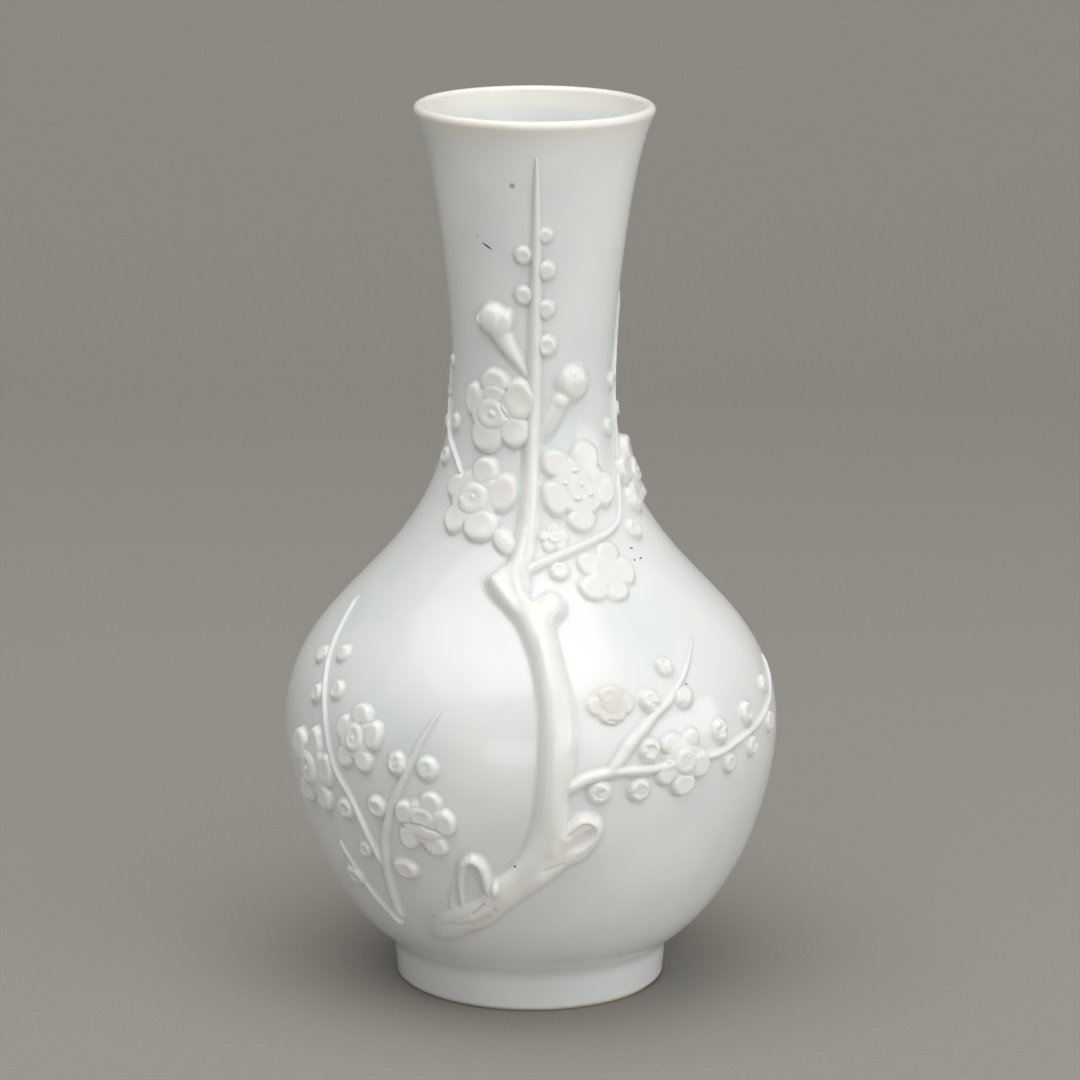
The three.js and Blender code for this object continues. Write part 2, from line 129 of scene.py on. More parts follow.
class SprigForm(bpy.types.PropertyGroup):
    """The reliefs pressed in moulds and stuck on."""

    trunk_relief: length("Trunk Relief", "How far the trunk stands off the wall", 3.2)
    twig_width: share("Twig Width", "A twig's width as a share of its listed width", 0.88)
    petal_relief: length("Petal Relief", "How far a petal stands off the wall", 1.7)
    bud_relief: share("Bud Relief", "A bud's height as a share of its radius", 0.52)
    net_spacing: length("Net Spacing", "Spacing of the points of a moulded sprig", 0.26)
    glaze_fillet: length("Glaze Fillet", "How widely glaze fills the corner of two sprigs", 0.9)
    tuck: length("Tuck", "How far a sprig's rim lies under the surface that it melts into", 0.03)
    plug: length("Plug", "How deep a sprig is sunk in the wall", 0.9)


class Glaze(bpy.types.PropertyGroup):
    """Colours of the glazed and bare porcelain."""

    body: colour("Body", "Clear glaze over white porcelain", "#F5F6F4")
    pooled: colour("Pooled", "Glaze lying thick over the body, cooler", "#E8EDEC")
    # Pool: glaze gathered thick round the relief's foot, and painted shade in the corner where
    # relief and wall meet.
    pool: colour("Pool", "Glaze gathered round the foot of the relief, grey green", "#B8C2B6")
    sprig: colour("Sprig", "Moulded sprigs, a little warmer than the body", "#F6F5F0")
    ivory: colour("Ivory", "Glaze at the lip, warm ivory", "#F8F4EA")
    speck: colour("Speck", "Iron specks and open pinholes", "#2E261E")
    bare: colour("Bare Clay", "Unglazed clay on the foot's edge", "#D8CDBB")
    scorch: colour("Scorch", "Brown flash on the foot's edge", "#9A6A3C")
    stain: colour("Stain", "Tan stain under the glaze", "#C8B596")


class Studio(bpy.types.PropertyGroup):
    """Camera, floor and light."""

    distance: length("Distance", "Camera's distance in front of the vase", 1055.75)
    camera_side: length("Camera Side", "How far the camera stands to the right", 1.79)
    camera_height: length("Camera Height", "Camera's height above the floor", 370.6)
    pitch: FloatProperty(
        name="Pitch", description="How far the camera looks down",
        default=math.radians(14.195), unit="ROTATION",
    )
    roll: FloatProperty(
        name="Roll", description="How far the camera leans", default=math.radians(0.35),
        unit="ROTATION",
    )
    focal_length: FloatProperty(
        name="Focal Length", description="Lens of the camera", default=157.68, unit="CAMERA"
    )
    floor: colour("Floor", "Plain paper sweep", "#9B9791")
    softbox: watts("Softbox", "The large softbox above the camera", 2.7)
    overhead: watts("Overhead", "The wide light overhead", 25)
    side_lamp: watts("Side Lamp", "The low lamp on the right", 4.2)
    fill: watts("Fill", "The fill on the right of the camera", 4.2)
    front_lamp: watts("Front Lamp", "The low lamp behind the camera", 5.8)
    sky: FloatProperty(name="Sky", description="Level of the light from all round", default=0.19)


# The wall


def bezier(points, count=400):
    """Points along a cubic curve."""
    a, b, c, d = (np.array(p, float) for p in points)
    t = np.linspace(0, 1, count)[:, None]
    return (1 - t) ** 3 * a + 3 * (1 - t) ** 2 * t * b + 3 * (1 - t) * t**2 * c + t**3 * d


# The foot's radius where it rests, and the rounding where wall and floor meet inside
FOOT_RADIUS = 31.2
FLOOR_CORNER = 1.5
EDGE_POINTS, LIP_POINTS, OUTSIDE_POINTS, INSIDE_POINTS, FLAT_POINTS, RING_POINTS = (
    7, 18, 206, 110, 14, 10
)
# How far glaze and throwing ease the corner above the foot, and how often it is smoothed
CREASE_REACH = 1.6
SMOOTHING = 12


class Wall:
    """The outer wall's line, by distance up it from the foot joint."""

    def __init__(self, form):
        self.form = form
        foot, belly, lip = (
            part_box(name)[1] / MM for name in ("foot_ring", "lower_body", "neck")
        )
        self.foot_radius, self.foot_height = foot.x, foot.z
        waist = (form.waist_radius, form.waist_height)
        self.lip_round = form.lip_wall / 2
        self.lip_centre = np.array([lip.x - self.lip_round, lip.z - self.lip_round])
        self.lip_start = form.lip_slope - math.pi / 2
        way = np.array([math.cos(form.lip_slope), math.sin(form.lip_slope)])
        top = self.lip_centre + self.lip_round * np.array([way[1], -way[0]])
        bowl, shoulder, neck = belly.z - foot.z, waist[1] - belly.z, top[1] - waist[1]
        flare = (
            foot.x + form.foot_flare_out * (belly.x - foot.x),
            foot.z + form.foot_flare_up * bowl,
        )
        line = np.vstack([
            bezier([(foot.x, foot.z), flare, (belly.x, belly.z - form.belly_below * bowl),
                    (belly.x, belly.z)]),
            bezier([(belly.x, belly.z), (belly.x, belly.z + form.belly_above * shoulder),
                    (waist[0], waist[1] - form.waist_below * shoulder), waist])[1:],
            bezier([waist, (waist[0], waist[1] + form.waist_above * neck),
                    top - form.lip_below * neck * way, top])[1:],
        ])
        steps = np.hypot(*np.diff(line, axis=0).T)
        self.run = np.r_[0, np.cumsum(steps)]
        self.line = line
        rise = np.gradient(line, self.run, axis=0)
        rise /= np.hypot(*rise.T)[:, None]
        self.normal = np.column_stack([rise[:, 1], -rise[:, 0]])
        heights = (foot.z, belly.z, waist[1], top[1])
        self.joints = [float(np.interp(z, line[:, 1], self.run)) for z in heights]

    def distance(self, level):
        """The distance up the wall at a level."""
        return np.interp(level, [0, 1, 2, 3], self.joints)

    def radius(self, distance):
        return np.interp(distance, self.run, self.line[:, 0])

    def profile(self, distance):
        """Radius and height at a distance, and the outward normal there."""
        height = np.interp(distance, self.run, self.line[:, 1])
        across = np.interp(distance, self.run, self.normal[:, 0])
        up = np.interp(distance, self.run, self.normal[:, 1])
        return self.radius(distance), height, across, up

    def on(self, angle, distance):
        """Points on the wall and their outward directions."""
        radius, height, across, up = self.profile(distance)
        way = np.stack([np.sin(angle), -np.cos(angle), np.zeros_like(angle)], -1)
        up_axis = np.array([0.0, 0.0, 1.0])
        foot = way * radius[..., None] + up_axis * height[..., None]
        return foot, way * across[..., None] + up_axis * up[..., None]

    def outline(self):
        """The section of the thrown form, from the axis under the floor to the axis inside."""
        form, edge = self.form, self.form.foot_edge
        inner, outer = self.foot_radius - form.foot_wall, FOOT_RADIUS
        floor = self.foot_height + form.floor_thickness
        turn = np.linspace(0, math.pi / 2, EDGE_POINTS)[:, None]
        inner_edge = np.hstack([inner + edge - edge * np.cos(turn), edge - edge * np.sin(turn)])
        outer_edge = np.hstack([outer - edge + edge * np.sin(turn), edge - edge * np.cos(turn)])
        lip_turn = np.linspace(self.lip_start, math.pi, LIP_POINTS)[1:, None]
        lip = self.lip_centre + self.lip_round * np.hstack([np.cos(lip_turn), np.sin(lip_turn)])
        along = np.linspace(0, self.run[-1], OUTSIDE_POINTS)
        outside = np.column_stack(self.profile(along)[:2])
        within = np.linspace(self.run[-1] - form.lip_wall, 0, INSIDE_POINTS)
        radius, height, across, up = self.profile(within)
        thick = np.interp(within, [0, self.run[-1]], [form.body_wall, form.lip_wall])
        inside = np.column_stack([radius - across * thick, height - up * thick])
        inside = inside[inside[:, 1] > floor]
        points = np.vstack([
            straight((0, self.foot_height), (inner, self.foot_height), FLAT_POINTS),
            straight((inner, self.foot_height), (inner, edge), RING_POINTS)[1:-1],
            inner_edge, outer_edge,
            straight((outer, edge), (self.foot_radius, self.foot_height), FLAT_POINTS)[1:-1],
            outside, lip, inside,
            straight((inside[-1, 0] - FLOOR_CORNER, floor), (0, floor), FLAT_POINTS),
        ])
        joint = np.hypot(points[:, 0] - self.foot_radius, points[:, 1] - self.foot_height)
        eased = np.clip(1.5 - joint / CREASE_REACH, 0, 1)[:, None]
        for _ in range(SMOOTHING):
            middle = (points[:-2] + points[2:]) / 2
            points[1:-1] += 0.5 * eased[1:-1] * (middle - points[1:-1])
        return points


def straight(start, end, count):
    return np.linspace(np.array(start, float), np.array(end, float), count)


# Node trees

MATH, VECTOR_MATH, WHOLE_MATH = "ShaderNodeMath", "ShaderNodeVectorMath", "FunctionNodeIntegerMath"
RANGE, NOISE, MIX = "ShaderNodeMapRange", "ShaderNodeTexNoise", "ShaderNodeMix"
SPLIT, CURVE, TURN = "ShaderNodeSeparateXYZ", "ShaderNodeFloatCurve", "ShaderNodeVectorRotate"
KEEP, KEPT = "GeometryNodeStoreNamedAttribute", "GeometryNodeInputNamedAttribute"
POSITION, NORMAL = "GeometryNodeInputPosition", "GeometryNodeInputNormal"
PLACE, NEAREST = "GeometryNodeSetPosition", "GeometryNodeSampleNearestSurface"
GRID, MERGE = "GeometryNodeMeshGrid", "GeometryNodeMergeByDistance"
REALIZE, OBJECT = "GeometryNodeRealizeInstances", "GeometryNodeObjectInfo"
VECTOR = "FLOAT_VECTOR"
# The gap that is welded shut, how far a ray looks for older sprigs, and the fillet on thin edges
WELD = MM / 1000
REACH = 12 * MM
MELT_SHARE = 1.6
RAISE_INPUTS = {
    "Laid Before": "Collection", "Glaze Fillet": 0.0009, "Tuck": 0.00003, "Plug": 0.0009,
}
SPRIG_INPUTS = {"Wall": "Object", **RAISE_INPUTS, "Glaze": "Material"}


def add(tree, kind, *values, **settings):
    """Adds a node with its settings. Values go to its inputs in order, or by name from a dict.

    A node that is given as a value stands for its first output in use.
    """
    made = tree.nodes.new(kind)
    for name, value in settings.items():
        setattr(made, name, value)
    named = values[0] if values and isinstance(values[0], dict) else dict(enumerate(values))
    for key, value in named.items():
        if isinstance(value, bpy.types.Node):
            value = next(socket for socket in value.outputs if socket.enabled)
        if isinstance(value, bpy.types.NodeSocket):
            tree.links.new(value, made.inputs[key])
        else:
            made.inputs[key].default_value = value
    return made


def new_tree(name, inputs):
    """A geometry tree. An input is given as its socket's kind or as its default value."""
    tree = bpy.data.node_groups.new(name, "GeometryNodeTree")
    tree.interface.new_socket("Geometry", in_out="OUTPUT", socket_type="NodeSocketGeometry")
    for label, start in inputs.items():
        plain = isinstance(start, str)
        kind = start if plain else {int: "Int", float: "Float"}[type(start)]
        socket = tree.interface.new_socket(label, in_out="INPUT", socket_type=f"NodeSocket{kind}")
        if not plain:
            socket.default_value = start
    return tree, tree.nodes.new("NodeGroupInput").outputs


def curve_through(node, points):
    """Sets a Float Curve node's line to pass through points."""
    line = node.mapping.curves[0]
    line.points[0].location, line.points[1].location = points[0], points[-1]
    for x, y in points[1:-1]:
        line.points.new(x, y)
    node.mapping.update()
    return node


def finish_tree(tree, geometry, glaze):
    """Ends a tree in smooth shading, Realize Instances and Set Material."""
    smooth = add(tree, "GeometryNodeSetShadeSmooth", {"Geometry": geometry})
    real = add(tree, REALIZE, {"Geometry": smooth})
    coated = add(tree, "GeometryNodeSetMaterial", {"Geometry": real, "Material": glaze})
    add(tree, "NodeGroupOutput", coated)
    return tree


WANDER_STRETCH = (0.35, 0.35, 1)


def thrown_tree():
    """Turns an outline about the axis, and lets the wall wander a little from true."""
    tree, given = new_tree("Thrown Form", {
        "Outline": "Geometry", "Sides": 224, "Wander": 0.0001, "Wander Spacing": 0.009,
        "Foot": 0.009, "Glaze": "Material",
    })
    outline, sides, position = given["Outline"], given["Sides"], add(tree, POSITION)
    rows = add(tree, "GeometryNodeAttributeDomainSize", {"Geometry": outline})
    columns = add(tree, WHOLE_MATH, sides, 1, operation="ADD")
    index = add(tree, "GeometryNodeInputIndex")
    row = add(tree, WHOLE_MATH, index, rows, operation="MODULO")
    column = add(tree, WHOLE_MATH, index, rows, operation="DIVIDE_FLOOR")
    point = add(tree, "GeometryNodeSampleIndex", {
        "Geometry": outline, "Value": position, "Index": row,
    }, data_type=VECTOR)
    part = add(tree, MATH, column, sides, operation="DIVIDE")
    angle = add(tree, MATH, part, math.tau, operation="MULTIPLY")
    turned = add(tree, TURN, {"Vector": point, "Angle": angle}, rotation_type="Z_AXIS")
    grid = add(tree, GRID, {"Vertices X": columns, "Vertices Y": rows})
    placed = add(tree, PLACE, {"Geometry": grid, "Position": turned})
    closed = add(tree, MERGE, {"Geometry": placed, "Distance": WELD})
    flat = add(tree, VECTOR_MATH, position, WANDER_STRETCH, operation="MULTIPLY")
    scale = add(tree, MATH, 1.0, given["Wander Spacing"], operation="DIVIDE")
    noise = add(tree, NOISE, {"Vector": flat, "Scale": scale, "Detail": 1.0})
    height = add(tree, SPLIT, position).outputs["Z"]
    free = add(tree, RANGE, {"Value": height, "From Max": given["Foot"]})
    depth = add(tree, MATH, noise, given["Wander"], operation="MULTIPLY")
    faded = add(tree, MATH, depth, free, operation="MULTIPLY")
    inward = add(tree, MATH, faded, -1.0, operation="MULTIPLY")
    normal = add(tree, NORMAL)
    offset = add(tree, VECTOR_MATH, {0: normal, "Scale": inward}, operation="SCALE")
    wandered = add(tree, PLACE, {"Geometry": closed, "Offset": offset})
    return finish_tree(tree, wandered, given["Glaze"])


def raise_group():
    """Raises a net off the wall by its lift, melts it over the sprigs laid before, closes it."""
    tree, given = new_tree("Raise From Wall", {"Net": "Geometry", **RAISE_INPUTS})
    foot, out = (add(tree, KEPT, {"Name": name}, data_type=VECTOR) for name in ("foot", "out"))
    lift = add(tree, KEPT, {"Name": "lift"}, data_type="FLOAT")
    sunk = add(tree, MATH, given["Plug"], -1.0, operation="MULTIPLY")
    below = add(tree, VECTOR_MATH, out, sunk, foot, operation="MULTIPLY_ADD")
    base = add(tree, PLACE, {"Geometry": given["Net"], "Position": below})
    laid = add(tree, "GeometryNodeCollectionInfo", {"Collection": given["Laid Before"]})
    target = add(tree, REALIZE, {"Geometry": laid})
    start = add(tree, VECTOR_MATH, out, (REACH,) * 3, foot, operation="MULTIPLY_ADD")
    back = add(tree, VECTOR_MATH, {0: out, "Scale": -1.0}, operation="SCALE")
    ray = add(tree, "GeometryNodeRaycast", {
        "Target Geometry": target, "Source Position": start, "Ray Direction": back,
        "Ray Length": REACH,
    }).outputs
    gap = add(tree, MATH, REACH, ray["Hit Distance"], operation="SUBTRACT")
    other = add(tree, MATH, gap, given["Tuck"], operation="SUBTRACT")
    lower = add(tree, MATH, lift, other, operation="MINIMUM")
    thin = add(tree, MATH, lower, MELT_SHARE, operation="MULTIPLY")
    thin = add(tree, MATH, thin, WELD, operation="MAXIMUM")
    fillet = add(tree, MATH, thin, given["Glaze Fillet"], operation="MINIMUM")
    melted = add(tree, MATH, lift, other, fillet, operation="SMOOTH_MAX")
    final = add(tree, "GeometryNodeSwitch", {
        "Switch": ray["Is Hit"], "False": lift, "True": melted,
    }, input_type="FLOAT")
    above = add(tree, VECTOR_MATH, out, final, foot, operation="MULTIPLY_ADD")
    skin = add(tree, "GeometryNodeExtrudeMesh", {
        "Mesh": base, "Offset Scale": 0.0, "Individual": False,
    }, mode="FACES").outputs
    upper = add(tree, PLACE, {
        "Geometry": skin["Mesh"], "Selection": skin["Top"], "Position": above,
    })
    marked = add(tree, KEEP, {
        "Geometry": upper, "Name": "relief", "Value": final,
    }, data_type="FLOAT", domain="POINT")
    under = add(tree, "GeometryNodeFlipFaces", {"Mesh": base})
    whole = add(tree, "GeometryNodeJoinGeometry", marked)
    tree.links.new(under.outputs[0], whole.inputs[0])
    add(tree, "NodeGroupOutput", add(tree, MERGE, {"Geometry": whole, "Distance": WELD}))
    return tree


def onto_wall(tree, geometry, wall):
    """Keeps the nearest point of the wall and its normal on each point."""
    position, normal = add(tree, POSITION), add(tree, NORMAL)
    near = add(tree, "GeometryNodeProximity", wall, target_element="FACES")
    away = add(tree, NEAREST, {
        "Mesh": wall, "Value": normal, "Sample Position": position,
    }, data_type=VECTOR)
    unit = add(tree, VECTOR_MATH, away, operation="NORMALIZE")
    for name, value in (("foot", near), ("out", unit)):
        geometry = add(tree, KEEP, {
            "Geometry": geometry, "Name": name, "Value": value,
        }, data_type=VECTOR, domain="POINT")
    return geometry


def raised(tree, given, group, net, height=None):
    """Lifts a net off the wall through the Raise From Wall group, and finishes the tree."""
    if height:
        lift = add(tree, MATH, height, given["Tuck"], operation="SUBTRACT")
        net = add(tree, KEEP, {
            "Geometry": net, "Name": "lift", "Value": lift,
        }, data_type="FLOAT", domain="POINT")
    links = {name: given[name] for name in RAISE_INPUTS}
    skin = add(tree, "GeometryNodeGroup", {"Net": net, **links}, node_tree=group)
    finish_tree(tree, skin, given["Glaze"])


def moulded_tree(group):
    """Finishes a sprig whose net was sculpted."""
    tree, given = new_tree("Moulded Sprig", {"Net": "Geometry", **SPRIG_INPUTS})
    wall = add(tree, OBJECT, {"Object": given["Wall"]}).outputs["Geometry"]
    raised(tree, given, group, onto_wall(tree, given["Net"], wall))


# Points across a twig, how far its skirt reaches past its half width, its section and its taper
TWIG_ACROSS = 17
TWIG_SKIRT = 2.1
TWIG_SECTION = [(0, 1), (0.18, 0.93), (0.34, 0.7), (0.48, 0.34), (0.6, 0.12), (0.78, 0.02), (1, 0)]
TWIG_ENDS = [(0, 0), (0.02, 0.7), (0.06, 1), (0.93, 1), (0.985, 0.6), (1, 0)]
KNOB_SCALE = 260


def twig_tree(group):
    """Rolls a twig along a path on the wall."""
    tree, given = new_tree("Rolled Twig", {
        "Path": "Geometry", "Steps": 200, "Relief": 0.0015, "Tip Relief": 0.0006,
        "Knobbliness": 0.0002, **SPRIG_INPUTS,
    })
    wall = add(tree, OBJECT, {"Object": given["Wall"]}).outputs["Geometry"]
    net = add(tree, GRID, {
        "Size X": 1.0, "Size Y": 2.0, "Vertices X": given["Steps"], "Vertices Y": TWIG_ACROSS,
    })
    flat = add(tree, SPLIT, add(tree, POSITION)).outputs
    along = add(tree, MATH, flat["X"], 0.5, operation="ADD")
    for name, value in (("along", along), ("across", flat["Y"])):
        net = add(tree, KEEP, {
            "Geometry": net, "Name": name, "Value": value,
        }, data_type="FLOAT", domain="POINT")
    path = add(tree, "GeometryNodeMeshToCurve", {"Mesh": given["Path"]})
    half = add(tree, KEPT, {"Name": "half"}, data_type="FLOAT")
    point = add(tree, "GeometryNodeSampleCurve", {
        "Curves": path, "Value": half, "Factor": along,
    }, data_type="FLOAT", use_all_curves=True).outputs
    away = add(tree, NEAREST, {
        "Mesh": wall, "Value": add(tree, NORMAL), "Sample Position": point["Position"],
    }, data_type=VECTOR)
    side = add(tree, VECTOR_MATH, point["Tangent"], away, operation="CROSS_PRODUCT")
    side = add(tree, VECTOR_MATH, side, operation="NORMALIZE")
    wide = add(tree, MATH, point["Value"], TWIG_SKIRT, operation="MULTIPLY")
    shift = add(tree, MATH, wide, flat["Y"], operation="MULTIPLY")
    spot = add(tree, VECTOR_MATH, side, shift, point["Position"], operation="MULTIPLY_ADD")
    net = onto_wall(tree, add(tree, PLACE, {"Geometry": net, "Position": spot}), wall)
    along, across = (
        add(tree, KEPT, {"Name": name}, data_type="FLOAT") for name in ("along", "across")
    )
    off_centre = add(tree, MATH, across, operation="ABSOLUTE")
    section = curve_through(add(tree, CURVE, {"Value": off_centre}), TWIG_SECTION)
    taper = curve_through(add(tree, CURVE, {"Value": along}), TWIG_ENDS)
    relief = add(tree, RANGE, {
        "Value": along, "To Min": given["Relief"], "To Max": given["Tip Relief"],
    })
    knob = add(tree, RANGE, {
        "Value": add(tree, NOISE, {"Scale": KNOB_SCALE, "Detail": 1.0}),
        "From Min": 0.3, "From Max": 0.7, "To Min": 0.0, "To Max": given["Knobbliness"],
    })
    relief = add(tree, MATH, relief, knob, operation="ADD")
    relief = add(tree, MATH, relief, taper, operation="MULTIPLY")
    lift = add(tree, MATH, relief, section, operation="MULTIPLY")
    raised(tree, given, group, net, lift)


# Points round and across a bud, its skirt, and its dome, hollow and raised ring from its middle
BUD_SPOKES = 48
BUD_RINGS = 22
DISC_WELD = 1e-4
BUD_SKIRT = 1.5
BUD_DOME = [(0, 1), (0.3, 0.97), (0.48, 0.86), (0.59, 0.64), (0.68, 0.34), (0.77, 0.1), (1, 0)]
BUD_DISH = [(0, 1), (0.15, 0.9), (0.28, 0.5), (0.4, 0.1), (0.52, 0), (1, 0)]
BUD_RING = [(0, 0), (0.28, 0.12), (0.42, 1), (0.55, 0.55), (0.66, 0.08), (1, 0)]
BUD_LUMP_SCALE = 420


def bud_tree(group):
    """Sets a round bud on each spot, dished or ringed as its own values say."""
    tree, given = new_tree("Pressed Buds", {"Spots": "Geometry", "Relief": 0.8, **SPRIG_INPUTS})
    wall = add(tree, OBJECT, {"Object": given["Wall"]}).outputs["Geometry"]
    grid = add(tree, GRID, {
        "Size X": 1.0, "Size Y": 1.0, "Vertices X": BUD_SPOKES + 1, "Vertices Y": BUD_RINGS,
    })
    flat = add(tree, SPLIT, add(tree, POSITION)).outputs
    reach = add(tree, MATH, flat["Y"], 0.5, operation="ADD")
    angle = add(tree, MATH, flat["X"], math.tau, operation="MULTIPLY")
    net = add(tree, KEEP, {
        "Geometry": grid, "Name": "reach", "Value": reach,
    }, data_type="FLOAT", domain="POINT")
    spoke = add(tree, "ShaderNodeCombineXYZ", reach)
    round_spot = add(tree, TURN, {"Vector": spoke, "Angle": angle}, rotation_type="Z_AXIS")
    disc = add(tree, PLACE, {"Geometry": net, "Position": round_spot})
    disc = add(tree, MERGE, {"Geometry": disc, "Distance": DISC_WELD})
    size, roll, dish, ring, lump, stretch, reach = (
        add(tree, KEPT, {"Name": name}, data_type="FLOAT")
        for name in ("size", "roll", "dish", "ring", "lump", "stretch", "reach")
    )
    out = add(tree, KEPT, {"Name": "out"}, data_type=VECTOR)
    upright = add(tree, "FunctionNodeAlignRotationToVector", {"Vector": out}, axis="Z")
    rolled = add(tree, "FunctionNodeAxisAngleToRotation", {"Axis": (0, 0, 1), "Angle": roll})
    rotation = add(tree, "FunctionNodeRotateRotation", {
        "Rotation": upright, "Rotate By": rolled,
    }, rotation_space="LOCAL")
    skirt = add(tree, MATH, size, BUD_SKIRT, operation="MULTIPLY")
    long = add(tree, MATH, skirt, stretch, operation="MULTIPLY")
    scale = add(tree, "ShaderNodeCombineXYZ", long, skirt, skirt)
    discs = add(tree, "GeometryNodeInstanceOnPoints", {
        "Points": given["Spots"], "Instance": disc, "Rotation": rotation, "Scale": scale,
    })
    net = onto_wall(tree, add(tree, REALIZE, {"Geometry": discs}), wall)
    dome, hollow, rim = (
        curve_through(add(tree, CURVE, {"Value": reach}), line)
        for line in (BUD_DOME, BUD_DISH, BUD_RING)
    )
    sunk = add(tree, MATH, hollow, dish, operation="MULTIPLY")
    raised_rim = add(tree, MATH, rim, ring, operation="MULTIPLY")
    form = add(tree, MATH, dome, sunk, operation="SUBTRACT")
    form = add(tree, MATH, form, raised_rim, operation="ADD")
    uneven = add(tree, RANGE, {
        "Value": add(tree, NOISE, {"Scale": BUD_LUMP_SCALE, "Detail": 2.0}),
        "From Min": 0.25, "From Max": 0.75, "To Min": -1.0, "To Max": 1.0,
    })
    uneven = add(tree, MATH, uneven, lump, 1.0, operation="MULTIPLY_ADD")
    form = add(tree, MATH, form, uneven, operation="MULTIPLY")
    tall = add(tree, MATH, size, given["Relief"], operation="MULTIPLY")
    raised(tree, given, group, net, add(tree, MATH, form, tall, operation="MULTIPLY"))


# Objects from geometry


def mesh_object(name, points, edges=(), faces=(), **attributes):
    """A mesh with values kept on its points. Points are millimetres."""
    mesh = bpy.data.meshes.new(name)
    mesh.from_pydata((np.asarray(points) * MM).tolist(), list(edges), list(faces))
    for key, values in attributes.items():
        values = np.asarray(values, np.float32)
        vector = values.ndim == 2
        layer = mesh.attributes.new(key, VECTOR if vector else "FLOAT", "POINT")
        layer.data.foreach_set("vector" if vector else "value", values.ravel())
    made = bpy.data.objects.new(name, mesh)
    bpy.context.scene.collection.objects.link(made)
    return made


def corners(thing):
    """The low and high corners of an object's mesh."""
    points = np.empty(len(thing.data.vertices) * 3, np.float32)
    thing.data.vertices.foreach_get("co", points)
    points = points.reshape(-1, 3)
    return points.min(0), points.max(0)


def grown(source, tree, values):
    """Runs a tree on an object and returns the plain mesh that it makes. The object goes."""
    modifier = source.modifiers.new(tree.name, "NODES")
    modifier.node_group = tree
    for item in tree.interface.items_tree:
        if item.in_out == "INPUT" and item.name in values:
            modifier[item.identifier] = values[item.name]
    depsgraph = bpy.context.evaluated_depsgraph_get()
    mesh = bpy.data.meshes.new_from_object(
        source.evaluated_get(depsgraph), preserve_all_data_layers=True, depsgraph=depsgraph
    )
    source.modifiers.remove(modifier)
    bpy.data.objects.remove(source)
    if not mesh.polygons:
        raise RuntimeError(f"{tree.name} made no faces")
    return mesh


BODY_SLOT = "glazed_body"
SPRIG_SLOT = "glazed_sprigs"
SPRIG_MARK = "_sprig"
LAID = "laid_sprigs"
# How near an older sprig lies to be melted into, the step along a path, and a plain bud's values
NEAR = 6
PATH_STEP = 0.8
BUD_PLAIN = (0, 0, 2.3, 0.14, 0.04, 0.08, 1, 0)


def piece(name, meshes, slot, *nodes):
    """One shown piece from the meshes made for it. It stands for CAD nodes."""
    made = bpy.data.objects.new(name, meshes[0])
    bpy.context.scene.collection.objects.link(made)
    others = [bpy.data.objects.new(f"{name}_part", mesh) for mesh in meshes[1:]]
    for other in others:
        bpy.context.scene.collection.objects.link(other)
    if others:
        with bpy.context.temp_override(
            active_object=made, selected_editable_objects=[made, *others]
        ):
            bpy.ops.object.join()
    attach(made, BODY)
    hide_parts(*nodes)
    return made


